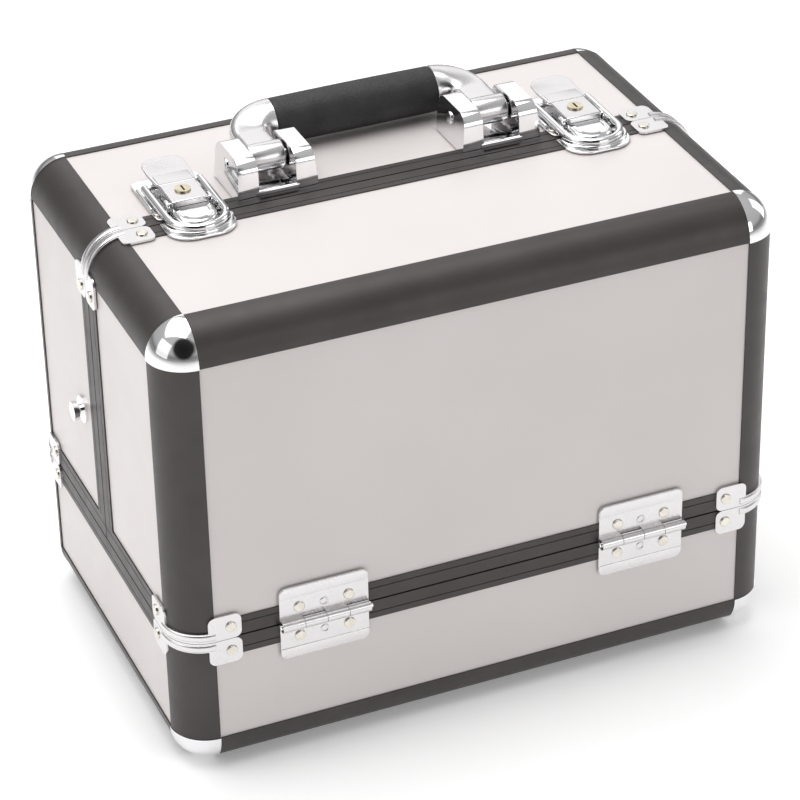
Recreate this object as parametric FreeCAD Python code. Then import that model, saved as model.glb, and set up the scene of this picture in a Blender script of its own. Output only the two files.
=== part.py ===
import FreeCAD, Part
import os
from math import atan2, cos, degrees, radians, sin, tan
from FreeCAD import Vector

# Two-door train case: a tub, a front and a back lid half that swing outward on
# hinges at the tub rim, and cantilever trays that spread as each lid opens.
# X runs along the case, -Y is the front, +Z is up. The origin is the bottom centre.

# ---- overall size of the case body ----
CASE_W = 362.0
CASE_D = 238.0
CASE_H = 280.0
SEAM_Z = 87.5          # height of the joint line between tub and lids

# ---- frame, panels and lining ----
EDGE_R = 22.0          # outer radius and visible leg of the edge extrusions
CAP_PROUD = 0.5        # corner caps stand proud of the extrusions
PANEL_INSET = 0.8      # panels lie behind the face of the extrusions
PANEL_T = 4.5
LINING_T = 1.2
INNER_R = 8.0          # inside corner radius of the lining
RAIL_H = 12.0          # height of one seam rail
SEAM_GAP = 1.0         # running gap between tub and lids, and between the lids
GROOVE_W = 0.5
GROOVE_DEPTH = 0.5
GROOVE_FROM_SEAM = 8.0

# ---- pressed straps over the seams ----
STRAP_T = 1.2
STRAP_BAND = 6.0       # half height of the band round the corner
STRAP_PLATE_H = 15.5   # half height of the riveted plates
STRAP_PLATE_L = 19.0
STRAP_PLATE_LAP = 4.0  # how far the plate reaches back over the extrusion
STRAP_CORNER_R = 4.0
STRAP_RIVET_FROM_END = 6.0
STRAP_SPLIT = 0.15 # gap from the seam plane to each half strap

# ---- rivets ----
RIVET_HEAD_R = 3.2
RIVET_HEAD_H = 1.0
RIVET_SHANK_R = 1.3
RIVET_SHANK_L = 4.0

# ---- lid hinges ----
HINGE_X = 96.0         # distance of each hinge from the middle
HINGE_OUT = 3.5        # axis distance in front of the frame face
HINGE_LEAF_W = 52.0
HINGE_LEAF_H = 23.0
HINGE_LEAF_T = 1.2
HINGE_LEAF_R = 4.0
HINGE_LEAF_GAP = 0.5
HINGE_LEAF_EDGE_R = 0.4
KNUCKLE_R = 3.2
KNUCKLE_L = 13.0
KNUCKLE_COUNT = 4
KNUCKLE_GAP = 0.3
HINGE_PIN_R = 1.5
HINGE_PIN_CLEAR = 0.05
HINGE_PIN_PROUD = 1.2
HINGE_RIVET_X = 14.5
HINGE_RIVET_Z = 9.5

# ---- carry handle ----
MOUNT_X = 67.0
MOUNT_W = 50.0
MOUNT_Y0 = 2.0
MOUNT_Y1 = 44.0
MOUNT_H = 23.0
MOUNT_FOOT_T = 2.5
MOUNT_TOP_R = 9.0
MOUNT_SLOT_W = 22.0
MOUNT_RIM = 4.0           # foot outside the ears
MOUNT_FOOT_R = 4.0
MOUNT_PAD_CLEAR = 2.0     # seam rail to the pad under the foot
HANDLE_AXIS_Y = 24.0
HANDLE_AXIS_UP = 14.5
HANDLE_REACH = 38.0    # pivot axis to grip centre
HANDLE_PIN_R = 2.5
HANDLE_PIN_CLEAR = 0.05
HANDLE_ARM_W = 20.0
HANDLE_ARM_T = 13.0
HANDLE_EYE_R = 8.0
HANDLE_CORNER_R = 16.0
HANDLE_FLANGE_T = 4.0
GRIP_R = 13.5
GRIP_L = 98.0
GRIP_CORE_R = 5.0

# ---- draw latches ----
LATCH_X = 118.0
LEVER_HALF_W = 10.5
EAR_CLEAR = 1.0           # lever to ear
EAR_T = 1.5
EAR_HALF_L = 4.0          # ear on each side of the lever's axis
EAR_H = 10.0
LOOP_CLEAR = 0.8          # ear to loop
LOOP_BAR_R = 2.2
BASE_RIM_CLEAR = 0.3      # loop to the rim of the base
BASE_RIM_T = 1.5
BASE_RIM_H = 3.2
BASE_Y0 = 1.5
BASE_Y1 = 50.0
BASE_T = 1.2
BASE_CORNER_R = 5.0
BASE_RIM_Y1 = 36.0
LEVER_AXIS_Y = 7.5
LEVER_AXIS_UP = 6.0
LEVER_END_R = 4.2
LEVER_BOTTOM = 2.2
LEVER_TOP = 9.5
LEVER_Y1 = 37.0
TAB_LAP = 12.0
TAB_Y1 = 54.0
TAB_HALF_W = 12.5
TAB_T = 2.0
TAB_SUNK = 1.0            # tab sunk into the top of the lever
TAB_CORNER_R = 8.0
LATCH_PIN_R = 1.5
LATCH_PIN_CLEAR = 0.05
LOOP_UP = 4.6
LOOP_PIVOT_Y = 33.0
LOOP_FRONT_Y = -21.0
LOOP_END_IN = 5.0         # turned in end inside the lever
PLUG_R = 4.5
PLUG_CLEAR = 0.05
PLUG_Y = 15.5
PLUG_DEPTH = 3.0
PLUG_PROUD = 1.0
KEYWAY_W = 1.2
KEYWAY_L = 6.0
STRIKE_HALF_W = 20.0
STRIKE_Y0 = -25.0
STRIKE_Y1 = -2.0
STRIKE_T = 1.2
STRIKE_CORNER_R = 8.0
HOOK_H = 6.0
HOOK_CLEAR = 2.0          # loop to hook
HOOK_LIFT = 2.2           # underside of the hook's overhang
HOOK_GAP = 1.0            # hook to the lever's round end
LATCH_RIVET_CLEAR = 0.3   # ear to rivet head
LATCH_RIVET_Y = 9.0       # from the seam, on both sides

# ---- shoulder strap studs ----
STUD_Y = 28.0
STUD_Z = 158.0
STUD_FLANGE_R = 8.0
STUD_FLANGE_T = 1.5
STUD_NECK_R = 3.0
STUD_NECK_L = 7.0
STUD_HEAD_R = 5.5
STUD_HEAD_T = 3.0

# ---- cantilever trays ----
TIERS = 3
TRAY_H = 49.0
TRAY_GAP = 4.0            # between two trays when shut
TRAY_FLOOR_UP = 14.0   # underside of the lowest tray above the joint line
TRAY_WALL = 1.8
TRAY_DEPTH = 100.0
TRAY_R = 6.0
TRAY_WALL_GAP = 5.5    # lining to tray along the hinge side
TRAY_PIVOT_UP = 9.0    # pivot above the underside of a tray
ARM_LEAN = 26.0        # degrees inward when shut and outward when open
ARM_BASE_UP = 30.0     # first tray pivot above the tub pivot
ARM_BASE_IN = 22.0     # outer tub pivot inward of the hinge axis
ARM_SPACING = 21.0
ARM_W = 10.0
ARM_T = 2.0
ARM_PIN_R = 2.0
ARM_PIN_CLEAR = 0.05
SIDE_CLEAR = 0.4       # sideways gap between sliding flat parts
GUIDE_T = 2.0
GUIDE_CLEAR = 0.4
GUIDE_MARGIN = 6.0
LID_TRAVEL = 90.0      # degrees
TRACK_STEPS = 12

# ---- values worked out from the ones above ----
STRAP_RIVET_AWAY = EDGE_R + STRAP_PLATE_L - STRAP_PLATE_LAP - STRAP_RIVET_FROM_END
STRAP_RIVET_UP = STRAP_PLATE_H / 2
TRAY_PITCH = TRAY_H + TRAY_GAP
EAR_IN = LEVER_HALF_W + EAR_CLEAR
LOOP_HALF_W = EAR_IN + EAR_T + LOOP_CLEAR + LOOP_BAR_R
LATCH_RIVET_X = EAR_IN + EAR_T + LATCH_RIVET_CLEAR + RIVET_HEAD_R
BASE_RIM_Y0 = LATCH_RIVET_Y + RIVET_HEAD_R + LATCH_RIVET_CLEAR
BASE_HALF_W = LOOP_HALF_W + LOOP_BAR_R + BASE_RIM_CLEAR + BASE_RIM_T
HALF_W = CASE_W / 2
HALF_D = CASE_D / 2
FACE = CAP_PROUD                       # depth of the extrusion face
PANEL_FACE = FACE + PANEL_INSET
FRAME_IN = PANEL_FACE + PANEL_T        # back of the panels
WALL_IN = FRAME_IN + LINING_T          # inner face of the lining
HALF_GAP = SEAM_GAP / 2
FAR = CASE_W + CASE_D + CASE_H
TOP = CASE_H - FACE                    # top face of the frame
PANEL_TOP = CASE_H - PANEL_FACE
HINGE_Y = -(HALF_D - FACE + HINGE_OUT)


def box(x0, x1, y0, y1, z0, z1):
    """Box between two corners."""
    return Part.makeBox(x1 - x0, y1 - y0, z1 - z0, Vector(x0, y0, z0))


def rounded(shape, axis, radius):
    """Fillet the straight edges of a box that run along one axis."""
    chosen = []
    for edge in shape.Edges:
        run = edge.Vertexes[1].Point.sub(edge.Vertexes[0].Point)
        if abs(abs(run.normalize().dot(axis)) - 1) < 1e-6:
            chosen.append(edge)
    return shape.makeFillet(radius, chosen)


def rod(start, direction, radius, length):
    """Cylinder from a start point along a direction."""
    return Part.makeCylinder(radius, length, start, direction)


def rounded_case(inset, radius):
    """The case's outer block moved inward by inset, with every edge rounded."""
    block = box(-HALF_W + inset, HALF_W - inset, -HALF_D + inset, HALF_D - inset,
                inset, CASE_H - inset)
    return block.makeFillet(radius, block.Edges)


def mirror_x(shape):
    """The same piece on the other end of the case."""
    return shape.mirror(Vector(0, 0, 0), Vector(1, 0, 0))


def mirror_y(shape):
    """The same piece on the other long side of the case."""
    return shape.mirror(Vector(0, 0, 0), Vector(0, 1, 0))


def mirror_seam(shape):
    """The same piece on the other side of the joint line."""
    return shape.mirror(Vector(0, 0, SEAM_Z), Vector(0, 0, 1))


def solids(shapes):
    """All the solids of a list of shapes, one by one."""
    found = []
    for shape in shapes:
        found.extend(shape.Solids)
    return found


def both_ends(shapes):
    """The pieces and their mirror images at the other end."""
    return list(shapes) + [mirror_x(shape) for shape in shapes]


def save(node, shapes):
    """Write one node as a group of its separate solids."""
    pieces = solids(shapes)
    group = pieces[0] if len(pieces) == 1 else Part.makeCompound(pieces)
    group.exportStep("parts/" + node + ".step")


def drilled(shapes, holes):
    """Cut every hole out of every piece that it reaches."""
    result = []
    for shape in shapes:
        near = [hole for hole in holes if hole.BoundBox.intersect(shape.BoundBox)]
        result.append(shape.cut(Part.makeCompound(near)) if near else shape)
    return result


def rivet(seat, outward):
    """Rivet with a rounded head standing on its seat and a shank behind it."""
    head = rod(seat, outward, RIVET_HEAD_R, RIVET_HEAD_H)
    rim = [edge for edge in head.Edges
           if abs(edge.CenterOfMass.sub(seat).dot(outward) - RIVET_HEAD_H) < 1e-6
           and len(edge.Vertexes) == 1]
    head = head.makeFillet(RIVET_HEAD_H * 0.7, rim)
    return head.fuse(rivet_shank(seat, outward))


def rivet_shank(seat, outward):
    """The shank of a rivet, which is also the hole it fills."""
    return rod(seat, outward.negative(), RIVET_SHANK_R, RIVET_SHANK_L)


# ======================================================================
# Shells that the frame, the caps, the straps and the linings are cut from
# ======================================================================
LINING_OUTSIDE = rounded_case(FRAME_IN, INNER_R + LINING_T)
FRAME_OUTSIDE = rounded_case(FACE, EDGE_R - FACE)
CAP_SHELL = rounded_case(0, EDGE_R).cut(LINING_OUTSIDE)
EDGE_SHELL = FRAME_OUTSIDE.cut(LINING_OUTSIDE)
LINING_SHELL = LINING_OUTSIDE.cut(rounded_case(WALL_IN, INNER_R))
STRAP_SHELL = rounded_case(FACE - STRAP_T, EDGE_R - FACE + STRAP_T).cut(FRAME_OUTSIDE)

X_AXIS = Vector(1, 0, 0)
Y_AXIS = Vector(0, 1, 0)
Z_AXIS = Vector(0, 0, 1)
TO_LEFT = Vector(-1, 0, 0)
TO_FRONT = Vector(0, -1, 0)
LEFT_FACE = -HALF_W + FACE
FRONT_FACE = -HALF_D + FACE
TUB_TOP = SEAM_Z - HALF_GAP
LID_BOTTOM = SEAM_Z + HALF_GAP
EDGE_X = HALF_W - EDGE_R
EDGE_Y = HALF_D - EDGE_R
EDGE_Z = CASE_H - EDGE_R
INNER_X = HALF_W - WALL_IN


# ======================================================================
# Frame, panels and lining. Left and front pieces are drawn, the rest mirrored.
# ======================================================================
def end_panel(y0, y1, z0, z1):
    """Panel of the left end."""
    return box(-HALF_W + PANEL_FACE, -HALF_W + FRAME_IN, y0, y1, z0, z1)


def front_panel(z0, z1):
    """Panel of the front."""
    return box(-EDGE_X, EDGE_X, -HALF_D + PANEL_FACE, -HALF_D + FRAME_IN, z0, z1)


def level_rail_grooves(side):
    """Fine lines in the rails next to the joint line: side is 1 above it and -1 below."""
    middle = SEAM_Z + side * GROOVE_FROM_SEAM
    low = middle - GROOVE_W / 2
    high = middle + GROOVE_W / 2
    front = box(-FAR, FAR, FRONT_FACE - 1, FRONT_FACE + GROOVE_DEPTH, low, high)
    left = box(LEFT_FACE - 1, LEFT_FACE + GROOVE_DEPTH, -FAR, FAR, low, high)
    return [front, mirror_y(front), left, mirror_x(left)]


def front_rail(z0, z1):
    """Seam rail along the front."""
    return box(-EDGE_X, EDGE_X, FRONT_FACE, -HALF_D + FRAME_IN, z0, z1)


def end_rail(y0, y1, z0, z1):
    """Seam rail on the left end."""
    return box(LEFT_FACE, -HALF_W + FRAME_IN, y0, y1, z0, z1)


def corner_zone(z0, z1):
    """Space of the front left vertical edge between two heights."""
    return box(-FAR, -EDGE_X, -FAR, -EDGE_Y, z0, z1)


def strap_plate(x0, x1, y0, y1, z0, z1, axis):
    """Outline of a riveted plate, rounded about one axis."""
    return rounded(box(x0, x1, y0, y1, z0, z1), axis, STRAP_CORNER_R)


def seam_strap():
    """Upper half strap round the front left edge, on the front lid."""
    low = SEAM_Z + STRAP_SPLIT
    band = corner_zone(low, SEAM_Z + STRAP_BAND)
    high = SEAM_Z + STRAP_PLATE_H
    near = EDGE_R - STRAP_PLATE_LAP
    far = near + STRAP_PLATE_L
    front = strap_plate(-HALF_W + near, -HALF_W + far, FRONT_FACE - 2 * STRAP_T, FRONT_FACE,
                        low, high, Y_AXIS)
    end = strap_plate(LEFT_FACE - 2 * STRAP_T, LEFT_FACE, -HALF_D + near, -HALF_D + far,
                      low, high, X_AXIS)
    front = front.fuse(STRAP_SHELL.common(box(-HALF_W + near, -EDGE_X, -FAR, FRONT_FACE + 2,
                                              low, high - STRAP_CORNER_R)))
    end = end.fuse(STRAP_SHELL.common(box(-FAR, LEFT_FACE + 2, -HALF_D + near, -EDGE_Y,
                                          low, high - STRAP_CORNER_R)))
    return STRAP_SHELL.common(band.fuse([front, end])).removeSplitter()


def top_strap():
    """Front half strap over the left top edge, on the front lid."""
    near = EDGE_R - STRAP_PLATE_LAP
    far = near + STRAP_PLATE_L
    y0 = -STRAP_PLATE_H
    y1 = -STRAP_SPLIT
    band = box(-FAR, -EDGE_X, -STRAP_BAND, y1, EDGE_Z, FAR)
    top = strap_plate(-HALF_W + near, -HALF_W + far, y0, y1, TOP, TOP + 2 * STRAP_T, Z_AXIS)
    end = strap_plate(LEFT_FACE - 2 * STRAP_T, LEFT_FACE, y0, y1,
                      CASE_H - far, CASE_H - near, X_AXIS)
    lap_top = box(-HALF_W + near, -EDGE_X, y0 + STRAP_CORNER_R, y1, TOP - 2, FAR)
    lap_end = box(-FAR, LEFT_FACE + 2, y0 + STRAP_CORNER_R, y1, EDGE_Z, CASE_H - near)
    return STRAP_SHELL.common(band.fuse([top, end, lap_top, lap_end])).removeSplitter()


def seam_strap_rivets():
    """Seats and directions of the rivets in the upper half strap."""
    z = SEAM_Z + STRAP_RIVET_UP
    return [(Vector(-HALF_W + STRAP_RIVET_AWAY, FRONT_FACE - STRAP_T, z), TO_FRONT),
            (Vector(LEFT_FACE - STRAP_T, -HALF_D + STRAP_RIVET_AWAY, z), TO_LEFT)]


def top_strap_rivets():
    """Seats and directions of the rivets in the front half of the top strap."""
    y = -STRAP_RIVET_UP
    return [(Vector(-HALF_W + STRAP_RIVET_AWAY, y, TOP + STRAP_T), Z_AXIS),
            (Vector(LEFT_FACE - STRAP_T, y, CASE_H - STRAP_RIVET_AWAY), TO_LEFT)]


# ======================================================================
# Hinges on the front side, at x = middle
# ======================================================================
def knuckle_span(middle, index):
    """Left and right end of one knuckle of a hinge."""
    start = middle - KNUCKLE_L * KNUCKLE_COUNT / 2 + index * KNUCKLE_L
    return start + KNUCKLE_GAP / 2, start + KNUCKLE_L - KNUCKLE_GAP / 2


def hinge_leaf(middle, side):
    """One leaf with its knuckles: side is 1 for the lid leaf and -1 for the tub leaf."""
    low = HINGE_LEAF_GAP
    high = HINGE_LEAF_H
    y1 = FRONT_FACE
    y0 = y1 - HINGE_LEAF_T
    x0 = middle - HINGE_LEAF_W / 2
    x1 = middle + HINGE_LEAF_W / 2
    plate = rounded(box(x0, x1, y0, y1, SEAM_Z + low, SEAM_Z + high + HINGE_LEAF_R), Y_AXIS,
                    HINGE_LEAF_EDGE_R)
    corners = rounded(box(x0, x1, y0 - 1, y1 + 1, SEAM_Z - high, SEAM_Z + high), Y_AXIS,
                      HINGE_LEAF_R)
    leaf = plate.common(corners)
    first = 0 if side > 0 else 1
    own = []
    for index in range(KNUCKLE_COUNT):
        k0, k1 = knuckle_span(middle, index)
        if index % 2 == first:
            own.append(rod(Vector(k0, HINGE_Y, SEAM_Z), X_AXIS, KNUCKLE_R, k1 - k0))
            own.append(box(k0, k1, HINGE_Y, y0 + HINGE_LEAF_T / 2, SEAM_Z + low, SEAM_Z + KNUCKLE_R))
        else:
            swept = rod(Vector(k0 - KNUCKLE_GAP, HINGE_Y, SEAM_Z), X_AXIS,
                        KNUCKLE_R + KNUCKLE_GAP, k1 - k0 + 2 * KNUCKLE_GAP)
            leaf = leaf.cut(swept)
    leaf = leaf.fuse(own)
    length = KNUCKLE_L * KNUCKLE_COUNT
    bore = rod(Vector(middle - length, HINGE_Y, SEAM_Z), X_AXIS, HINGE_PIN_R + HINGE_PIN_CLEAR,
               2 * length)
    leaf = leaf.cut(bore)
    return leaf if side > 0 else mirror_seam(leaf)


def hinge_pin(middle):
    """Hinge pin, standing out at both ends of the barrel."""
    length = KNUCKLE_L * KNUCKLE_COUNT + 2 * HINGE_PIN_PROUD
    return rod(Vector(middle - length / 2, HINGE_Y, SEAM_Z), X_AXIS, HINGE_PIN_R, length)


def hinge_rivets(middle, side):
    """Seats of the two rivets of one leaf."""
    z = SEAM_Z + side * HINGE_RIVET_Z
    y = FRONT_FACE - HINGE_LEAF_T
    return [(Vector(middle + dx, y, z), TO_FRONT) for dx in (-HINGE_RIVET_X, HINGE_RIVET_X)]


# ======================================================================
# Trays, arms and guides of the front side
# ======================================================================
LEAN = radians(ARM_LEAN)
ARM_OUT_X = INNER_X - GUIDE_T - SIDE_CLEAR
ARM_IN_X = ARM_OUT_X - ARM_T
TRAY_END_X = ARM_IN_X - SIDE_CLEAR
ARM_FOOT_Z = SEAM_Z + TRAY_FLOOR_UP + TRAY_PIVOT_UP - ARM_BASE_UP
ARM_FOOT_YS = [HINGE_Y + ARM_BASE_IN, HINGE_Y + ARM_BASE_IN + ARM_SPACING]
TRAY_Y0 = HINGE_Y + HINGE_OUT + WALL_IN - FACE + TRAY_WALL_GAP
ARM_RATIO = 2 * ARM_LEAN / LID_TRAVEL
GUIDE_TIER = 1


def tier_rise(tier):
    """Height of a tray's pivots above the tub pivots when shut."""
    return ARM_BASE_UP + tier * TRAY_PITCH


def tier_pivot(foot_y, tier):
    """Place of a tray pivot on the arm that stands at foot_y."""
    rise = tier_rise(tier)
    return Vector(ARM_IN_X, foot_y + rise * tan(LEAN), ARM_FOOT_Z + rise)


def arm_bar(foot_y):
    """One straight arm at the right end, with a hole at every pivot."""
    length = tier_rise(TIERS - 1) / cos(LEAN)
    foot = Vector(ARM_IN_X, foot_y, ARM_FOOT_Z)
    blank = box(ARM_IN_X, ARM_OUT_X, foot_y - ARM_W / 2, foot_y + ARM_W / 2,
                ARM_FOOT_Z, ARM_FOOT_Z + length)
    bar = blank.fuse([rod(foot, X_AXIS, ARM_W / 2, ARM_T),
                      rod(foot + Vector(0, 0, length), X_AXIS, ARM_W / 2, ARM_T)])
    bar.rotate(foot, X_AXIS, -ARM_LEAN)
    centres = [foot] + [tier_pivot(foot_y, tier) for tier in range(TIERS)]
    holes = [rod(centre - X_AXIS, X_AXIS, ARM_PIN_R + ARM_PIN_CLEAR, ARM_T + 2)
             for centre in centres]
    return bar.cut(holes).removeSplitter()


def tray(tier):
    """Open tray with one cross wall."""
    z0 = SEAM_Z + TRAY_FLOOR_UP + tier * TRAY_PITCH
    body = rounded(box(-TRAY_END_X, TRAY_END_X, TRAY_Y0, TRAY_Y0 + TRAY_DEPTH, z0, z0 + TRAY_H),
                   Z_AXIS, TRAY_R)
    inner_r = TRAY_R - TRAY_WALL
    hollows = []
    for x0, x1 in ((-TRAY_END_X + TRAY_WALL, -TRAY_WALL / 2), (TRAY_WALL / 2, TRAY_END_X - TRAY_WALL)):
        hollow = box(x0, x1, TRAY_Y0 + TRAY_WALL, TRAY_Y0 + TRAY_DEPTH - TRAY_WALL,
                     z0 + TRAY_WALL, z0 + TRAY_H + 1)
        hollows.append(rounded(hollow, Z_AXIS, inner_r))
    return body.cut(hollows)


def tray_pins(tier):
    """Pivot pins on the right end of a tray. One of them runs in the lid's guide."""
    pins = []
    for number, foot_y in enumerate(ARM_FOOT_YS):
        centre = tier_pivot(foot_y, tier)
        centre.x = TRAY_END_X
        guided = tier == GUIDE_TIER and number == 0
        tip = INNER_X - SIDE_CLEAR if guided else ARM_OUT_X
        pins.append(rod(centre, X_AXIS, ARM_PIN_R, tip - TRAY_END_X))
    return pins


def foot_pins():
    """Pins in the right tub wall that the arms swing on."""
    pins = []
    for foot_y in ARM_FOOT_YS:
        pin = rod(Vector(ARM_IN_X, foot_y, ARM_FOOT_Z), X_AXIS, ARM_PIN_R, INNER_X - ARM_IN_X)
        collar = rod(Vector(ARM_OUT_X + SIDE_CLEAR / 2, foot_y, ARM_FOOT_Z), X_AXIS,
                     ARM_W / 2, INNER_X - ARM_OUT_X - SIDE_CLEAR / 2)
        pins.append(pin.fuse(collar).removeSplitter())
    return pins


def guide_point(lid_angle):
    """Where the guided pin lies on the front lid, seen with the lid shut."""
    length = tier_rise(GUIDE_TIER) / cos(LEAN)
    lean = LEAN - radians(lid_angle) * ARM_RATIO
    inward = ARM_BASE_IN + length * sin(lean)
    up = ARM_FOOT_Z - SEAM_Z + length * cos(lean)
    turn = radians(lid_angle)
    back = inward * cos(turn) + up * sin(turn)
    high = up * cos(turn) - inward * sin(turn)
    return Vector(INNER_X - GUIDE_T, HINGE_Y + back, SEAM_Z + high)


def track(radius, thickness):
    """Curved bar of a given half width along the way of the guided pin."""
    points = [guide_point(LID_TRAVEL * step / TRACK_STEPS) for step in range(TRACK_STEPS + 1)]
    shapes = [rod(point, X_AXIS, radius, thickness) for point in points]
    for first, second in zip(points, points[1:]):
        run = second - first
        span = box(0, thickness, 0, run.Length, -radius, radius)
        span.rotate(Vector(0, 0, 0), X_AXIS, degrees(atan2(run.z, run.y)))
        span.translate(first)
        shapes.append(span)
    return shapes[0].fuse(shapes[1:]).removeSplitter()


def guide_plate():
    """Slotted plate on the right end of the lid, which drives the arms."""
    plate = track(ARM_PIN_R + GUIDE_MARGIN, GUIDE_T)
    return plate.cut(track(ARM_PIN_R + GUIDE_CLEAR, GUIDE_T))


# ======================================================================
# Carry handle, lying back over the back lid
# ======================================================================
HANDLE_Z = TOP + HANDLE_AXIS_UP


def handle_mount():
    """Clevis of the right handle arm."""
    x0 = MOUNT_X - MOUNT_W / 2
    x1 = MOUNT_X + MOUNT_W / 2
    seat = PANEL_TOP
    ear_x0 = x0 + MOUNT_RIM
    ear_x1 = x1 - MOUNT_RIM
    ear_y0 = MOUNT_Y0 + MOUNT_RIM
    ear_y1 = MOUNT_Y1 - MOUNT_RIM
    ears = rounded(box(ear_x0, ear_x1, ear_y0, ear_y1, TOP, TOP + MOUNT_H), X_AXIS, MOUNT_TOP_R)
    ears = ears.fuse(box(ear_x0, ear_x1, ear_y0, ear_y1, TOP, TOP + MOUNT_H / 2))
    foot = rounded(box(x0, x1, MOUNT_Y0, MOUNT_Y1, TOP, TOP + MOUNT_FOOT_T), Z_AXIS, MOUNT_FOOT_R)
    pad = box(ear_x0, ear_x1, RAIL_H + MOUNT_PAD_CLEAR, ear_y1, seat, TOP)
    slot = box(MOUNT_X - MOUNT_SLOT_W / 2, MOUNT_X + MOUNT_SLOT_W / 2, 0, HALF_D,
               TOP + MOUNT_FOOT_T, FAR)
    bore = rod(Vector(x0 - 1, HANDLE_AXIS_Y, HANDLE_Z), X_AXIS, HANDLE_PIN_R + HANDLE_PIN_CLEAR,
               MOUNT_W + 2)
    return ears.fuse([foot, pad]).cut([slot, bore]).removeSplitter()


def handle_pin():
    """Pin through the right handle mount."""
    length = MOUNT_W - 2 * MOUNT_RIM
    return rod(Vector(MOUNT_X - length / 2, HANDLE_AXIS_Y, HANDLE_Z), X_AXIS, HANDLE_PIN_R, length)


def handle_arm():
    """Right arm: eye in the mount, a curved limb and a socket on the grip."""
    x0 = MOUNT_X - HANDLE_ARM_W / 2
    grip_y = HANDLE_AXIS_Y + HANDLE_REACH
    eye = rod(Vector(x0, HANDLE_AXIS_Y, HANDLE_Z), X_AXIS, HANDLE_EYE_R, HANDLE_ARM_W)
    limb = box(x0, x0 + HANDLE_ARM_W, HANDLE_AXIS_Y, grip_y + HANDLE_ARM_T / 2,
               HANDLE_Z - HANDLE_ARM_T / 2, HANDLE_Z + HANDLE_ARM_T / 2)
    elbow = box(GRIP_L / 2, x0 + HANDLE_ARM_W, grip_y - HANDLE_ARM_T / 2,
                grip_y + HANDLE_ARM_T / 2, HANDLE_Z - HANDLE_ARM_T / 2,
                HANDLE_Z + HANDLE_ARM_T / 2)
    corner = limb.fuse(elbow).removeSplitter()
    outside = [edge for edge in corner.Edges
               if abs(edge.CenterOfMass.x - x0 - HANDLE_ARM_W) < 1e-6
               and abs(edge.CenterOfMass.y - grip_y - HANDLE_ARM_T / 2) < 1e-6]
    corner = corner.makeFillet(HANDLE_CORNER_R, outside)
    flange = rod(Vector(GRIP_L / 2, grip_y, HANDLE_Z), X_AXIS, GRIP_R, HANDLE_FLANGE_T)
    arm = corner.fuse([eye, flange])
    bore = rod(Vector(x0 - 1, HANDLE_AXIS_Y, HANDLE_Z), X_AXIS, HANDLE_PIN_R + HANDLE_PIN_CLEAR,
               HANDLE_ARM_W + 2)
    return arm.cut(bore).removeSplitter()


def handle_core():
    """Steel rod inside the grip."""
    grip_y = HANDLE_AXIS_Y + HANDLE_REACH
    return rod(Vector(-GRIP_L / 2, grip_y, HANDLE_Z), X_AXIS, GRIP_CORE_R, GRIP_L)


def handle_grip():
    """Soft sleeve on the core."""
    grip_y = HANDLE_AXIS_Y + HANDLE_REACH
    sleeve = rod(Vector(-GRIP_L / 2, grip_y, HANDLE_Z), X_AXIS, GRIP_R, GRIP_L)
    return sleeve.cut(handle_core())


# ======================================================================
# Draw latches, at x = middle
# ======================================================================
LEVER_AXIS = Vector(0, LEVER_AXIS_Y, TOP + LEVER_AXIS_UP)


def latch_base(middle):
    """Base plate with two ears for the lever's pin and a rim outside the loop."""
    plate = rounded(box(middle - BASE_HALF_W, middle + BASE_HALF_W, BASE_Y0, BASE_Y1,
                        TOP, TOP + BASE_T), Z_AXIS, BASE_CORNER_R)
    pieces = []
    for x0 in (middle - EAR_IN - EAR_T, middle + EAR_IN):
        pieces.append(box(x0, x0 + EAR_T, LEVER_AXIS_Y - EAR_HALF_L, LEVER_AXIS_Y + EAR_HALF_L,
                          TOP, TOP + EAR_H))
    for x0 in (middle - BASE_HALF_W, middle + BASE_HALF_W - BASE_RIM_T):
        pieces.append(box(x0, x0 + BASE_RIM_T, BASE_RIM_Y0, BASE_RIM_Y1,
                          TOP, TOP + BASE_RIM_H))
    bore = rod(Vector(middle - FAR, LEVER_AXIS.y, LEVER_AXIS.z), X_AXIS,
               LATCH_PIN_R + LATCH_PIN_CLEAR, 2 * FAR)
    return plate.fuse(pieces).cut(bore).removeSplitter()


def latch_pin(middle):
    """Pin that the lever swings on."""
    half = EAR_IN + EAR_T
    return rod(Vector(middle - half, LEVER_AXIS.y, LEVER_AXIS.z), X_AXIS, LATCH_PIN_R, 2 * half)


def latch_lever(middle):
    """Lever with a finger tab, holes for its pin and the loop, and a bore for the plug."""
    x0 = middle - LEVER_HALF_W
    x1 = middle + LEVER_HALF_W
    body = box(x0, x1, LEVER_AXIS_Y, LEVER_Y1, TOP + LEVER_BOTTOM, TOP + LEVER_TOP)
    front_end = rod(Vector(x0, LEVER_AXIS.y, LEVER_AXIS.z), X_AXIS, LEVER_END_R, x1 - x0)
    tab_z = TOP + LEVER_TOP - TAB_SUNK
    tab = rounded(box(middle - TAB_HALF_W, middle + TAB_HALF_W, LEVER_Y1 - TAB_LAP, TAB_Y1,
                      tab_z, tab_z + TAB_T), Z_AXIS, TAB_CORNER_R)
    lever = body.fuse([front_end, tab])
    pin_bore = rod(Vector(x0 - 1, LEVER_AXIS.y, LEVER_AXIS.z), X_AXIS,
                   LATCH_PIN_R + LATCH_PIN_CLEAR, x1 - x0 + 2)
    loop_bore = rod(Vector(x0 - 1, LOOP_PIVOT_Y, TOP + LOOP_UP), X_AXIS,
                    LATCH_PIN_R + LATCH_PIN_CLEAR, x1 - x0 + 2)
    plug_bore = rod(Vector(middle, PLUG_Y, TOP + LEVER_TOP - PLUG_DEPTH), Z_AXIS,
                    PLUG_R + PLUG_CLEAR, PLUG_DEPTH + 1)
    return lever.cut([pin_bore, loop_bore, plug_bore]).removeSplitter()


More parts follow.
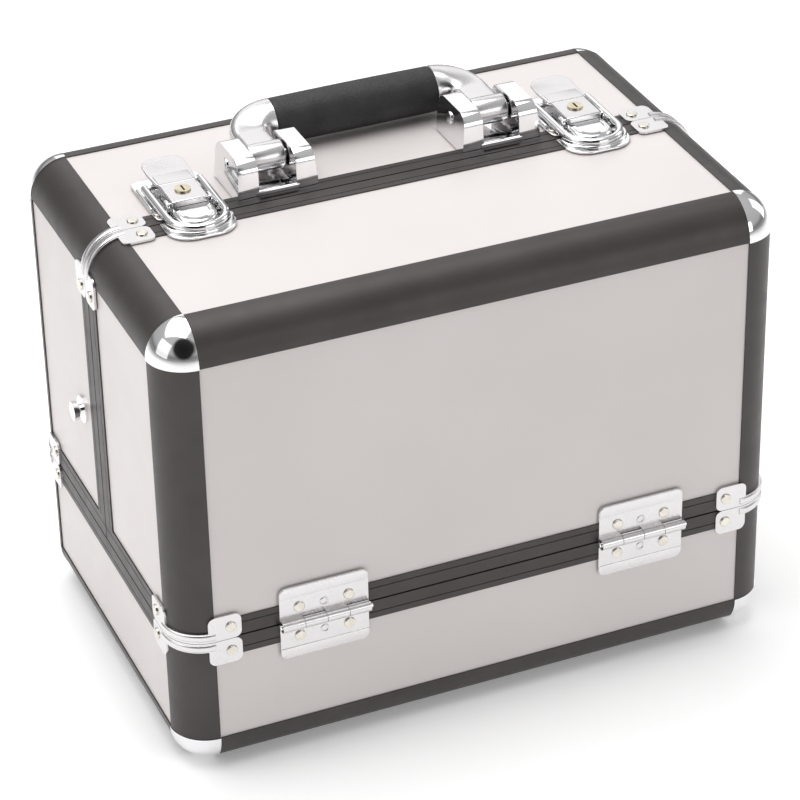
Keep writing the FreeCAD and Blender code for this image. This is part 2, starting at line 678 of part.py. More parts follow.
def latch_loop(middle):
    """Bail loop: two straight bars, a half round front and two turned in ends."""
    z = TOP + LOOP_UP
    centre_y = LOOP_FRONT_Y + LOOP_HALF_W
    bend = Part.makeTorus(LOOP_HALF_W, LOOP_BAR_R, Vector(middle, centre_y, z), Z_AXIS)
    bend = bend.common(box(-FAR, FAR, -FAR, centre_y, -FAR, FAR))
    parts = [bend]
    for side in (-1, 1):
        x = middle + side * LOOP_HALF_W
        parts.append(rod(Vector(x, centre_y, z), Y_AXIS, LOOP_BAR_R, LOOP_PIVOT_Y - centre_y))
        parts.append(Part.makeSphere(LOOP_BAR_R, Vector(x, LOOP_PIVOT_Y, z)))
        inner = middle + side * (LEVER_HALF_W - LOOP_END_IN)
        start = Vector(min(x, inner), LOOP_PIVOT_Y, z)
        parts.append(rod(start, X_AXIS, LATCH_PIN_R, abs(x - inner)))
    return parts[0].fuse(parts[1:]).removeSplitter()


def key_plug(middle):
    """Lock plug with a keyway."""
    bottom = TOP + LEVER_TOP - PLUG_DEPTH
    top = TOP + LEVER_TOP + PLUG_PROUD
    plug = rod(Vector(middle, PLUG_Y, bottom), Z_AXIS, PLUG_R, top - bottom)
    keyway = box(middle - KEYWAY_W / 2, middle + KEYWAY_W / 2, PLUG_Y - KEYWAY_L / 2,
                 PLUG_Y + KEYWAY_L / 2, top - 2 * PLUG_PROUD, top + 1)
    return plug.cut(keyway)


def hook_outline(middle, z0, z1):
    """D shaped block inside the front of the loop, reaching back to the lever."""
    radius = LOOP_HALF_W - LOOP_BAR_R - HOOK_CLEAR
    centre_y = LOOP_FRONT_Y + LOOP_BAR_R + HOOK_CLEAR + radius
    back = LEVER_AXIS_Y - LEVER_END_R - HOOK_GAP
    return rod(Vector(middle, centre_y, z0), Z_AXIS, radius, z1 - z0).fuse(
        box(middle - radius, middle + radius, centre_y, back, z0, z1)).common(
        box(-FAR, FAR, -FAR, back, z0, z1))


def latch_strike(middle):
    """Strike plate with the hook that the loop catches, overhanging the seam."""
    plate = rounded(box(middle - STRIKE_HALF_W, middle + STRIKE_HALF_W, STRIKE_Y0, STRIKE_Y1,
                        TOP, TOP + STRIKE_T), Z_AXIS, STRIKE_CORNER_R)
    foot = hook_outline(middle, TOP + STRIKE_T / 2, TOP + HOOK_H)
    foot = foot.common(box(-FAR, FAR, -FAR, STRIKE_Y1, -FAR, FAR))
    overhang = hook_outline(middle, TOP + HOOK_LIFT, TOP + HOOK_H)
    return plate.fuse([foot, overhang]).removeSplitter()


def latch_rivets(middle, side):
    """Seats of the two rivets of a latch plate: side is -1 for the strike, 1 for the base."""
    return [(Vector(middle + dx, side * LATCH_RIVET_Y, TOP + STRIKE_T), Z_AXIS)
            for dx in (-LATCH_RIVET_X, LATCH_RIVET_X)]


def strap_stud():
    """Shoulder strap stud on the left end of the back lid."""
    seat = Vector(-HALF_W + PANEL_FACE, STUD_Y, STUD_Z)
    flange = rod(seat, TO_LEFT, STUD_FLANGE_R, STUD_FLANGE_T)
    neck = rod(seat, TO_LEFT, STUD_NECK_R, STUD_NECK_L)
    head = rod(seat + TO_LEFT * (STUD_NECK_L - STUD_HEAD_T), TO_LEFT, STUD_HEAD_R, STUD_HEAD_T)
    return flange.fuse([neck, head]).removeSplitter()


# ======================================================================
# Write every node
# ======================================================================
def both_latches(make):
    """The pieces of both latches."""
    return [make(-LATCH_X), make(LATCH_X)]


def latch_seats(side):
    """Rivet seats of both latches on one side of the seam."""
    return latch_rivets(-LATCH_X, side) + latch_rivets(LATCH_X, side)


def mirrored_seats(seats, flip_x, flip_y, flip_z):
    """Rivet seats and directions reflected about the case's planes."""
    found = []
    for point, outward in seats:
        z = 2 * SEAM_Z - point.z if flip_z else point.z
        sx = -1 if flip_x else 1
        sy = -1 if flip_y else 1
        found.append((Vector(sx * point.x, sy * point.y, z),
                      Vector(sx * outward.x, sy * outward.y, outward.z)))
    return found


def at_both_ends(seats):
    """Rivet seats at both ends of the case."""
    return seats + mirrored_seats(seats, True, False, False)


def write_tub():
    """Everything that belongs to the tub."""
    front_seats = at_both_ends(mirrored_seats(seam_strap_rivets(), False, False, True))
    hinge_seats = hinge_rivets(-HINGE_X, -1) + hinge_rivets(HINGE_X, -1)
    seats = front_seats + hinge_seats
    seats = seats + mirrored_seats(seats, False, True, False)
    holes = [rivet_shank(point, outward) for point, outward in seats]
    z0 = EDGE_R
    z1 = SEAM_Z - RAIL_H
    front = front_panel(z0, z1)
    ends = both_ends([end_panel(-EDGE_Y, EDGE_Y, z0, z1)])
    bottom = box(-EDGE_X, EDGE_X, -EDGE_Y, EDGE_Y, PANEL_FACE, FRAME_IN)
    save("tub_front_panel", drilled([front], holes))
    save("tub_back_panel", drilled([mirror_y(front)], holes))
    save("tub_end_panels", drilled(ends, holes))
    save("tub_bottom_panel", [bottom])
    grooves = level_rail_grooves(-1)
    rails = [front_rail(z1, TUB_TOP)]
    rails.append(mirror_y(rails[0]))
    rails.extend(both_ends([end_rail(-EDGE_Y, EDGE_Y, z1, TUB_TOP)]))
    save("tub_seam_rails", drilled(rails, holes + grooves))
    low_x = EDGE_SHELL.common(box(-EDGE_X, EDGE_X, -FAR, -EDGE_Y, -1, EDGE_R))
    low_y = EDGE_SHELL.common(box(-FAR, -EDGE_X, -EDGE_Y, EDGE_Y, -1, EDGE_R))
    upright = EDGE_SHELL.common(corner_zone(EDGE_R, TUB_TOP))
    uprights = both_ends([upright, mirror_y(upright)])
    edges = [low_x, mirror_y(low_x)] + both_ends([low_y]) + uprights
    save("tub_edge_extrusions", drilled(edges, holes))
    cap = CAP_SHELL.common(corner_zone(-1, EDGE_R))
    save("tub_corner_caps", both_ends([cap, mirror_y(cap)]))
    strap = mirror_seam(seam_strap())
    save("tub_seam_straps", drilled(both_ends([strap, mirror_y(strap)]), holes))
    save("tub_lining", [LINING_SHELL.common(box(-FAR, FAR, -FAR, FAR, -1, TUB_TOP))])
    leaves = [hinge_leaf(-HINGE_X, -1), hinge_leaf(HINGE_X, -1)]
    pins = [hinge_pin(-HINGE_X), hinge_pin(HINGE_X)]
    leaves = drilled(leaves + [mirror_y(leaf) for leaf in leaves], holes)
    save("tub_hinge_leaves", leaves)
    save("hinge_pins", pins + [mirror_y(pin) for pin in pins])
    save("tub_rivets", [rivet(point, outward) for point, outward in seats])
    arms = both_ends(foot_pins())
    save("tray_arm_pivots", arms + [mirror_y(pin) for pin in arms])


def write_lid(side, place, extra_seats):
    """One lid half: side is front or back and place moves a front piece to that side."""
    seats = at_both_ends(seam_strap_rivets() + top_strap_rivets())
    seats = seats + hinge_rivets(-HINGE_X, 1) + hinge_rivets(HINGE_X, 1) + extra_seats
    holes = [rivet_shank(point, outward) for point, outward in seats]
    z0 = SEAM_Z + RAIL_H
    y1 = -HALF_GAP

    def write(name, shapes):
        """Save a node of this lid with the rivet holes cut."""
        save(side + "_lid_" + name, [place(shape) for shape in drilled(shapes, holes)])

    write("face_panel", [front_panel(z0, EDGE_Z)])
    write("top_panel", [box(-EDGE_X, EDGE_X, -EDGE_Y, -RAIL_H, CASE_H - FRAME_IN, PANEL_TOP)])
    write("end_panels", both_ends([end_panel(-EDGE_Y, -RAIL_H, z0, EDGE_Z)]))
    upright_line = box(LEFT_FACE - 1, LEFT_FACE + GROOVE_DEPTH, -GROOVE_FROM_SEAM - GROOVE_W / 2,
                       -GROOVE_FROM_SEAM + GROOVE_W / 2, z0, EDGE_Z)
    top_line = box(-FAR, FAR, -GROOVE_FROM_SEAM - GROOVE_W / 2, -GROOVE_FROM_SEAM + GROOVE_W / 2,
                   TOP - GROOVE_DEPTH, FAR)
    level = front_rail(LID_BOTTOM, z0)
    low_end = end_rail(-EDGE_Y, y1, LID_BOTTOM, z0)
    upright = end_rail(-RAIL_H, y1, z0, EDGE_Z)
    top = box(-EDGE_X, EDGE_X, -RAIL_H, y1, CASE_H - FRAME_IN, TOP)
    lower = [level] + both_ends([low_end])
    lower = drilled(lower, level_rail_grooves(1))
    upper = [top.cut(top_line)] + both_ends([upright.cut(upright_line)])
    write("seam_rails", lower + upper)
    high_x = EDGE_SHELL.common(box(-EDGE_X, EDGE_X, -FAR, -EDGE_Y, EDGE_Z, FAR))
    high_y = EDGE_SHELL.common(box(-FAR, -EDGE_X, -EDGE_Y, y1, EDGE_Z, FAR))
    post = EDGE_SHELL.common(corner_zone(LID_BOTTOM, EDGE_Z))
    write("edge_extrusions", [high_x] + both_ends([high_y, post]))
    write("corner_caps", both_ends([CAP_SHELL.common(corner_zone(EDGE_Z, FAR))]))
    write("straps", both_ends([seam_strap(), top_strap()]))
    write("lining", [LINING_SHELL.common(box(-FAR, FAR, -FAR, y1, LID_BOTTOM, FAR))])
    write("hinge_leaves", [hinge_leaf(-HINGE_X, 1), hinge_leaf(HINGE_X, 1)])
    save(side + "_lid_rivets", [place(rivet(point, outward)) for point, outward in seats])
    save(side + "_lid_guide_plates", [place(shape) for shape in both_ends([guide_plate()])])


def write_trays(side, place):
    """Trays and arms of one side."""
    for tier in range(TIERS):
        pieces = [tray(tier)] + both_ends(tray_pins(tier))
        save(side + "_tray_" + str(tier + 1), [place(piece) for piece in pieces])
    for name, foot_y in zip(("outer", "inner"), ARM_FOOT_YS):
        bars = both_ends([arm_bar(foot_y)])
        save(side + "_" + name + "_arms", [place(bar) for bar in bars])


def write_top_hardware():
    """Latches, handle and strap studs."""
    for name, make, side in (("latch_strikes", latch_strike, -1), ("latch_bases", latch_base, 1)):
        holes = [rivet_shank(*seat) for seat in latch_seats(side)]
        save(name, drilled(both_latches(make), holes))
    save("latch_pins", both_latches(latch_pin))
    for name, middle in (("left", -LATCH_X), ("right", LATCH_X)):
        save(name + "_latch_lever", [latch_lever(middle)])
        save(name + "_latch_loop", [latch_loop(middle)])
        save(name + "_key_plug", [key_plug(middle)])
    save("handle_mounts", both_ends([handle_mount()]))
    save("handle_pins", both_ends([handle_pin()]))
    save("handle_arms", both_ends([handle_arm()]))
    save("handle_core", [handle_core()])
    save("handle_grip", [handle_grip()])
    save("strap_studs", both_ends([strap_stud()]))


os.makedirs("parts", exist_ok=True)
write_tub()
write_lid("front", lambda shape: shape, latch_seats(-1))
write_lid("back", mirror_y, latch_seats(-1))
write_trays("front", lambda shape: shape)
write_trays("back", mirror_y)
write_top_hardware()
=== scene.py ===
import logging
import math
from dataclasses import dataclass
from enum import Enum
from math import cos, pi, radians, sin
from typing import Callable, Iterable

import bpy
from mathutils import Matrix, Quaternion, Vector


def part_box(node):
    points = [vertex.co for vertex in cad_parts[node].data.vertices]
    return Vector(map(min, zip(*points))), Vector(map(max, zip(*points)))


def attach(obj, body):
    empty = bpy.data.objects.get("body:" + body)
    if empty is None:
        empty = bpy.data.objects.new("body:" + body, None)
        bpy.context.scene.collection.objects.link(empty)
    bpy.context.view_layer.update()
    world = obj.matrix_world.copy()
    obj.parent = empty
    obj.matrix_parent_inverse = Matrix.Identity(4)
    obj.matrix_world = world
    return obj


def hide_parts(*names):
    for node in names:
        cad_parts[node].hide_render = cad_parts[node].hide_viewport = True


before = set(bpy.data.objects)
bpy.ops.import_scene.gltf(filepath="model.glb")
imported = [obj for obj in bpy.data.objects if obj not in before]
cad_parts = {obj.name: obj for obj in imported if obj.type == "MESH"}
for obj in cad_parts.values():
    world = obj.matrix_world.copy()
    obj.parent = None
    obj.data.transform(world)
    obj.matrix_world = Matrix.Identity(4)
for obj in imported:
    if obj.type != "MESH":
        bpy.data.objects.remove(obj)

LOG = logging.getLogger("train_case")
MM = 0.001
# Turns that lay a standing bar along X or along Y.
X_TURN = (0.0, pi / 2, 0.0)
Y_TURN = (pi / 2, 0.0, 0.0)
NO_TURN = (0.0, 0.0, 0.0)
SMOOTH_BELOW = 32.0
# How near a place has to be to a face, in millimetres, to count as on it.
NEAR = 0.1
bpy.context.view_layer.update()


class Side(Enum):
    """The two ends of the case, along X."""

    NEGATIVE = -1
    POSITIVE = 1


# ----------------------------------------------------------------------
# Finishes
# ----------------------------------------------------------------------
class NodeBoard:
    """A material's node tree with short ways to add the nodes used here."""

    def __init__(self, name: str) -> None:
        """Start an empty material with one principled shader.

        Args:
            name: the material's name.
        """
        self.material = bpy.data.materials.new(name)
        self.material.use_nodes = True
        self.nodes = self.material.node_tree.nodes
        self.links = self.material.node_tree.links
        self.shader = self.nodes["Principled BSDF"]
        self.place = self.nodes.new("ShaderNodeTexCoord").outputs["Object"]

    def stretch(self, scale: tuple[float, float, float]) -> bpy.types.NodeSocket:
        """Object coordinates scaled by axis.

        Args:
            scale: factor along X, Y and Z.

        Returns:
            The scaled coordinates.
        """
        mapping = self.nodes.new("ShaderNodeMapping")
        mapping.inputs["Scale"].default_value = scale
        self.links.new(self.place, mapping.inputs["Vector"])
        return mapping.outputs["Vector"]

    def noise(self, scale: float, detail: float = 3.0,
              vector: bpy.types.NodeSocket | None = None) -> bpy.types.NodeSocket:
        """Soft noise.

        Args:
            scale: cells per metre.
            detail: octaves.
            vector: coordinates, or None for the object's own.

        Returns:
            The noise's factor.
        """
        node = self.nodes.new("ShaderNodeTexNoise")
        node.inputs["Scale"].default_value = scale
        node.inputs["Detail"].default_value = detail
        self.links.new(vector or self.place, node.inputs["Vector"])
        return node.outputs["Fac"]

    def cells(self, scale: float, feature: str = "F1") -> bpy.types.NodeSocket:
        """Voronoi cells.

        Args:
            scale: cells per metre.
            feature: which distance is measured.

        Returns:
            The distance.
        """
        node = self.nodes.new("ShaderNodeTexVoronoi")
        node.feature = feature
        node.inputs["Scale"].default_value = scale
        self.links.new(self.place, node.inputs["Vector"])
        return node.outputs["Distance"]

    def spread(self, value: bpy.types.NodeSocket, low: float, high: float,
               from_low: float = 0.3, from_high: float = 0.7) -> bpy.types.NodeSocket:
        """Map a factor onto a range.

        Args:
            value: the factor.
            low: result at from_low.
            high: result at from_high.
            from_low: lower end of the factor.
            from_high: upper end of the factor.

        Returns:
            The mapped value.
        """
        node = self.nodes.new("ShaderNodeMapRange")
        for key, number in (("From Min", from_low), ("From Max", from_high),
                            ("To Min", low), ("To Max", high)):
            node.inputs[key].default_value = number
        self.links.new(value, node.inputs["Value"])
        return node.outputs["Result"]

    def tint(self, value: bpy.types.NodeSocket, dark: tuple[float, float, float],
             light: tuple[float, float, float]) -> None:
        """Vary the base colour between two tones.

        Args:
            value: factor from the darker to the lighter tone.
            dark: darker tone.
            light: lighter tone.
        """
        ramp = self.nodes.new("ShaderNodeValToRGB")
        ramp.color_ramp.elements[0].position = 0.3
        ramp.color_ramp.elements[1].position = 0.7
        ramp.color_ramp.elements[0].color = (*dark, 1.0)
        ramp.color_ramp.elements[1].color = (*light, 1.0)
        self.links.new(value, ramp.inputs["Fac"])
        self.links.new(ramp.outputs["Color"], self.shader.inputs["Base Color"])

    def roughen(self, value: bpy.types.NodeSocket) -> None:
        """Drive the roughness."""
        self.links.new(value, self.shader.inputs["Roughness"])

    def bump(self, value: bpy.types.NodeSocket, depth: float, strength: float = 1.0) -> None:
        """Raise the surface by a height, on top of any earlier bump.

        Args:
            value: height factor.
            depth: height in metres.
            strength: share of the effect.
        """
        node = self.nodes.new("ShaderNodeBump")
        node.inputs["Distance"].default_value = depth
        node.inputs["Strength"].default_value = strength
        self.links.new(value, node.inputs["Height"])
        normal = self.shader.inputs["Normal"]
        if normal.is_linked:
            self.links.new(normal.links[0].from_socket, node.inputs["Normal"])
        self.links.new(node.outputs["Normal"], normal)

    def set(self, **values: float) -> None:
        """Set plain shader inputs, with underscores for spaces in their names."""
        for key, number in values.items():
            self.shader.inputs[key.replace("_", " ")].default_value = number


@dataclass(frozen=True)
class Laminate:
    """Warm white laminated board with a faint orange peel."""

    dark: tuple[float, float, float] = (0.680, 0.635, 0.622)
    light: tuple[float, float, float] = (0.715, 0.670, 0.657)
    cloud: float = 9.0
    smear: float = 38.0
    rough: tuple[float, float] = (0.34, 0.46)
    peel: float = 900.0
    peel_depth: float = 0.06 * MM

    def build(self) -> bpy.types.Material:
        """Make the material.

        Returns:
            The material.
        """
        board = NodeBoard("white_laminate")
        board.tint(board.noise(self.cloud, 2.0), self.dark, self.light)
        board.roughen(board.spread(board.noise(self.smear, 5.0), *self.rough))
        board.bump(board.noise(self.peel, 2.0), self.peel_depth, 0.5)
        board.set(Coat_Weight=0.15, Coat_Roughness=0.22)
        return board.material


@dataclass(frozen=True)
class Anodised:
    """Black satin anodised aluminium with a fine blasted grain."""

    dark: tuple[float, float, float] = (0.044, 0.037, 0.037)
    light: tuple[float, float, float] = (0.058, 0.049, 0.049)
    cloud: float = 26.0
    smear: float = 120.0
    rough: tuple[float, float] = (0.40, 0.48)
    blast: float = 5200.0
    blast_depth: float = 0.02 * MM

    def build(self) -> bpy.types.Material:
        """Make the material.

        Returns:
            The material.
        """
        board = NodeBoard("black_anodised")
        board.tint(board.noise(self.cloud, 4.0), self.dark, self.light)
        board.roughen(board.spread(board.noise(self.smear, 6.0), *self.rough))
        board.bump(board.noise(self.blast, 2.0), self.blast_depth, 0.5)
        board.set(Metallic=0.35, Specular_IOR_Level=0.62)
        return board.material


@dataclass(frozen=True)
class Chrome:
    """Chrome plate with handling smears and hair scratches."""

    name: str
    rough: tuple[float, float]
    scratch: float
    colour: tuple[float, float, float] = (0.86, 0.86, 0.87)
    dull_share: float = 0.98
    cloud: float = 60.0
    smear: float = 170.0
    hairs: tuple[float, float, float] = (220.0, 3800.0, 3800.0)
    hair_depth: float = 0.01 * MM

    def build(self) -> bpy.types.Material:
        """Make the material.

        Returns:
            The material.
        """
        board = NodeBoard(self.name)
        dull = tuple(self.dull_share * channel for channel in self.colour)
        board.tint(board.noise(self.cloud, 3.0), dull, self.colour)
        board.roughen(board.spread(board.noise(self.smear, 6.0), *self.rough))
        scratches = board.noise(1.0, 3.0, board.stretch(self.hairs))
        board.bump(scratches, self.hair_depth, self.scratch)
        board.set(Metallic=1.0)
        return board.material


@dataclass(frozen=True)
class Plated:
    """A plain plated metal: pale brass or zinc, brushed."""

    name: str
    dark: tuple[float, float, float]
    light: tuple[float, float, float]
    rough: tuple[float, float] = (0.20, 0.38)
    cloud: float = 210.0
    smear: float = 300.0
    brush: tuple[float, float, float] = (300.0, 4200.0, 300.0)
    brush_depth: float = 0.02 * MM

    def build(self) -> bpy.types.Material:
        """Make the material.

        Returns:
            The material.
        """
        board = NodeBoard(self.name)
        board.tint(board.noise(self.cloud, 4.0), self.dark, self.light)
        board.roughen(board.spread(board.noise(self.smear, 5.0), *self.rough))
        grain = board.noise(1.0, 4.0, board.stretch(self.brush))
        board.bump(grain, self.brush_depth, 0.4)
        board.set(Metallic=1.0)
        return board.material


@dataclass(frozen=True)
class GrainedSleeve:
    """Black grained leathercloth of the grip."""

    dark: tuple[float, float, float] = (0.012, 0.012, 0.013)
    light: tuple[float, float, float] = (0.024, 0.024, 0.025)
    cloud: float = 90.0
    grain: float = 900.0
    grain_depth: float = 0.22 * MM
    rough: tuple[float, float] = (0.38, 0.6)
    pores: float = 2600.0
    pore_depth: float = 0.05 * MM

    def build(self) -> bpy.types.Material:
        """Make the material.

        Returns:
            The material.
        """
        board = NodeBoard("grained_sleeve")
        board.tint(board.noise(self.cloud, 4.0), self.dark, self.light)
        pebble = board.cells(self.grain)
        board.roughen(board.spread(pebble, *self.rough, 0.0, 0.6))
        board.bump(pebble, self.grain_depth, 0.7)
        board.bump(board.noise(self.pores, 3.0), self.pore_depth, 0.5)
        return board.material


@dataclass(frozen=True)
class Napped:
    """Black napped lining cloth."""

    dark: tuple[float, float, float] = (0.010, 0.010, 0.011)
    light: tuple[float, float, float] = (0.024, 0.023, 0.025)
    fibres: float = 700.0
    cloud: float = 60.0
    rough: tuple[float, float] = (0.82, 0.95)
    nap: float = 2800.0
    nap_depth: float = 0.2 * MM

    def build(self) -> bpy.types.Material:
        """Make the material.

        Returns:
            The material.
        """
        board = NodeBoard("napped_lining")
        board.tint(board.noise(self.fibres, 5.0), self.dark, self.light)
        board.roughen(board.spread(board.noise(self.cloud, 3.0), *self.rough))
        board.bump(board.noise(self.nap, 4.0), self.nap_depth, 0.7)
        board.set(Sheen_Weight=0.35, Sheen_Roughness=0.4)
        return board.material


@dataclass(frozen=True)
class MouldedTray:
    """Black moulded plastic with a fine spark texture."""

    dark: tuple[float, float, float] = (0.016, 0.016, 0.017)
    light: tuple[float, float, float] = (0.024, 0.024, 0.025)
    cloud: float = 40.0
    smear: float = 240.0
    rough: tuple[float, float] = (0.42, 0.56)
    spark: float = 2400.0
    spark_depth: float = 0.06 * MM

    def build(self) -> bpy.types.Material:
        """Make the material.

        Returns:
            The material.
        """
        board = NodeBoard("moulded_tray")
        board.tint(board.noise(self.cloud, 3.0), self.dark, self.light)
        board.roughen(board.spread(board.noise(self.smear, 4.0), *self.rough))
        board.bump(board.cells(self.spark), self.spark_depth, 0.5)
        return board.material


@dataclass(frozen=True)
class Backdrop:
    """Pale seamless studio floor."""

    tone: tuple[float, float, float] = (0.97, 0.97, 0.97)
    glow: float = 0.2

    def build(self) -> bpy.types.Material:
        """Make the material.

        Returns:
            The material.
        """
        board = NodeBoard("studio_floor")
        board.shader.inputs["Base Color"].default_value = (*self.tone, 1.0)
        board.shader.inputs["Emission Color"].default_value = (*self.tone, 1.0)
        board.set(Roughness=0.85, Emission_Strength=self.glow)
        return board.material


class Finishes:
    """Every finish of the case, built once."""

    def __init__(self) -> None:
        """Build the materials."""
        self.laminate = Laminate().build()
        self.anodised = Anodised().build()
        self.chrome = Chrome("bright_chrome", (0.05, 0.13), 0.3).build()
        self.satin = Chrome("satin_chrome", (0.25, 0.28), 0.01, (0.72, 0.705, 0.71)).build()
        self.brass = Plated("pale_brass", (0.60, 0.53, 0.38), (0.72, 0.66, 0.50)).build()
        self.rivet = Plated("rivet_nickel", (0.66, 0.62, 0.54), (0.80, 0.77, 0.69),
                            (0.14, 0.32)).build()
        self.zinc = Plated("zinc_plate", (0.48, 0.49, 0.50), (0.60, 0.61, 0.62)).build()
        self.sleeve = GrainedSleeve().build()
        self.lining = Napped().build()
        self.tray = MouldedTray().build()
        self.floor = Backdrop().build()

    def for_node(self, node: str) -> bpy.types.Material:
        """The finish of a CAD node, chosen by its name.

        Args:
            node: name of the node.

        Returns:
            The material.
        """
        rules = (("handle_arms", self.satin), ("panel", self.laminate), ("extrusions", self.anodised),
                 ("seam_rails", self.anodised), ("lining", self.lining),
                 ("rivets", self.rivet), ("plug", self.brass), ("grip", self.sleeve),
                 ("straps", self.satin), ("leaves", self.satin),
                 ("guide", self.zinc), ("_arms", self.zinc), ("pivots", self.zinc),
                 ("core", self.zinc), ("tray", self.tray))
        for word, material in rules:
            if word in node:
                return material
        return self.chrome


# ----------------------------------------------------------------------
# Modelling by operator
# ----------------------------------------------------------------------
class Blank:
    """One piece being modelled with operators."""

    def __init__(self, obj: bpy.types.Object) -> None:
        """Wrap an object.

        Args:
            obj: the object being modelled.
        """
        self.obj = obj

    @staticmethod
    def fresh() -> None:
        """Go to object mode with nothing selected."""
        if bpy.context.object and bpy.context.object.mode != "OBJECT":
            bpy.ops.object.mode_set(mode="OBJECT")
        bpy.ops.object.select_all(action="DESELECT")

    @classmethod
    def block(cls, low: tuple[float, float, float], high: tuple[float, float, float]) -> "Blank":
        """A block between two corners, in millimetres.

        Args:
            low: lowest corner.
            high: highest corner.

        Returns:
            The piece.
        """
        cls.fresh()
        low_corner = Vector(low) * MM
        high_corner = Vector(high) * MM
        bpy.ops.mesh.primitive_cube_add(size=1.0, location=(low_corner + high_corner) / 2)
        obj = bpy.context.object
        obj.scale = high_corner - low_corner
        bpy.ops.object.transform_apply(location=True, rotation=True, scale=True)
        return cls(obj)

    @classmethod
    def rod(cls, centre: tuple[float, float, float], radius: float, length: float,
            turn: tuple[float, float, float] = NO_TURN, sides: int = 48) -> "Blank":
        """A round bar, in millimetres.

        Args:
            centre: its middle.
            radius: its radius.
            length: its length.
            turn: rotation from standing along Z.
            sides: faces round the bar.

        Returns:
            The piece.
        """
        cls.fresh()
        bpy.ops.mesh.primitive_cylinder_add(vertices=sides, radius=radius * MM, depth=length * MM,
                                            location=Vector(centre) * MM, rotation=turn)
        bpy.ops.object.transform_apply(location=True, rotation=True, scale=True)
        return cls(bpy.context.object)

    def edit(self, faces: Callable[[bpy.types.MeshPolygon], bool] | None = None) -> "Blank":
        """Enter edit mode with the named faces selected.

        Args:
            faces: test of a face, or None for all of them.

        Returns:
            The piece.
        """
        self.fresh()
        self.obj.select_set(True)
        bpy.context.view_layer.objects.active = self.obj
        mesh = self.obj.data
        for group in (mesh.vertices, mesh.edges, mesh.polygons):
            group.foreach_set("select", [False] * len(group))
        for face in mesh.polygons:
            face.select = faces is None or faces(face)
        bpy.context.tool_settings.mesh_select_mode = (False, False, True)
        bpy.ops.object.mode_set(mode="EDIT")
        return self

    def leave(self) -> "Blank":
        """Leave edit mode."""
        bpy.ops.object.mode_set(mode="OBJECT")
        return self

    def edit_edges(self, edges: Callable[[Vector, Vector], bool]) -> "Blank":
        """Enter edit mode with the named edges selected.

        Args:
            edges: test of an edge's two ends, in metres.

        Returns:
            The piece.
        """
        self.fresh()
        self.obj.select_set(True)
        bpy.context.view_layer.objects.active = self.obj
        mesh = self.obj.data
        for group in (mesh.vertices, mesh.edges, mesh.polygons):
            group.foreach_set("select", [False] * len(group))
        for edge in mesh.edges:
            ends = [mesh.vertices[index].co for index in edge.vertices]
            if edges(ends[0], ends[1]):
                edge.select = True
                for index in edge.vertices:
                    mesh.vertices[index].select = True
        bpy.context.tool_settings.mesh_select_mode = (False, True, False)
        bpy.ops.object.mode_set(mode="EDIT")
        return self

    def round_edges(self, edges: Callable[[Vector, Vector], bool], radius: float,
                    steps: int = 6) -> "Blank":
        """Bevel chosen edges round.

        Args:
            edges: test of an edge's two ends.
            radius: width of the bevel in millimetres.
            steps: segments.

        Returns:
            The piece.
        """
        self.edit_edges(edges)
        bpy.ops.mesh.bevel(offset=radius * MM, segments=steps, profile=0.5, affect="EDGES")
        return self.leave()

    def soften(self, radius: float, steps: int = 3, limit: float = 35.0) -> "Blank":
        """Round every sharp edge with an applied bevel modifier.

        Args:
            radius: width in millimetres.
            steps: segments.
            limit: edges sharper than this angle are rounded, in degrees.

        Returns:
            The piece.
        """
        bevel = self.obj.modifiers.new("soften", "BEVEL")
        bevel.width = radius * MM
        bevel.segments = steps
        bevel.limit_method = "ANGLE"
        bevel.angle_limit = radians(limit)
        return self.apply("soften")

    def apply(self, modifier: str) -> "Blank":
        """Apply one modifier.

        Args:
            modifier: its name.

        Returns:
            The piece.
        """
        self.fresh()
        self.obj.select_set(True)
        bpy.context.view_layer.objects.active = self.obj
        bpy.ops.object.modifier_apply(modifier=modifier)
        return self

    def reshape(self, move: Callable[[Vector], Vector]) -> "Blank":
        """Move every vertex.

        Args:
            move: gives the new place of a place, both in millimetres.

        Returns:
            The piece.
        """
        for vertex in self.obj.data.vertices:
            vertex.co = move(vertex.co / MM) * MM
        return self

    def halved(self, place: tuple[float, float, float],
               normal: tuple[float, float, float]) -> "Blank":
        """Cut off what lies beyond a plane and close the cut.

        Args:
            place: a point of the plane in millimetres.
            normal: direction of the half that is removed.

        Returns:
            The piece.
        """
        self.edit()
        bpy.ops.mesh.bisect(plane_co=Vector(place) * MM, plane_no=normal, use_fill=True,
                            clear_outer=True)
        return self.leave()

    @classmethod
    def ring(cls, centre: tuple[float, float, float], radius: float, wire: float,
             turn: tuple[float, float, float] = NO_TURN, sides: int = 96) -> "Blank":
        """A round ring, in millimetres.

        Args:
            centre: its middle.
            radius: radius of its centre line.
            wire: radius of its wire.
            turn: rotation from lying flat.
            sides: segments round the ring.

        Returns:
            The piece.
        """
        cls.fresh()
        bpy.ops.mesh.primitive_torus_add(major_radius=radius * MM, minor_radius=wire * MM,
                                         major_segments=sides, minor_segments=20,
                                         location=Vector(centre) * MM, rotation=turn)
        bpy.ops.object.transform_apply(location=True, rotation=True, scale=True)
        return cls(bpy.context.object)

    def cut(self, tool: "Blank") -> "Blank":
        """Cut another piece out of this one and remove the other.

        Args:
            tool: the piece to cut with.

        Returns:
            The piece.
        """
        modifier = self.obj.modifiers.new("cut", "BOOLEAN")
        modifier.operation = "DIFFERENCE"
        modifier.solver = "EXACT"
        modifier.object = tool.obj
        self.apply("cut")
        bpy.data.objects.remove(tool.obj)
        return self

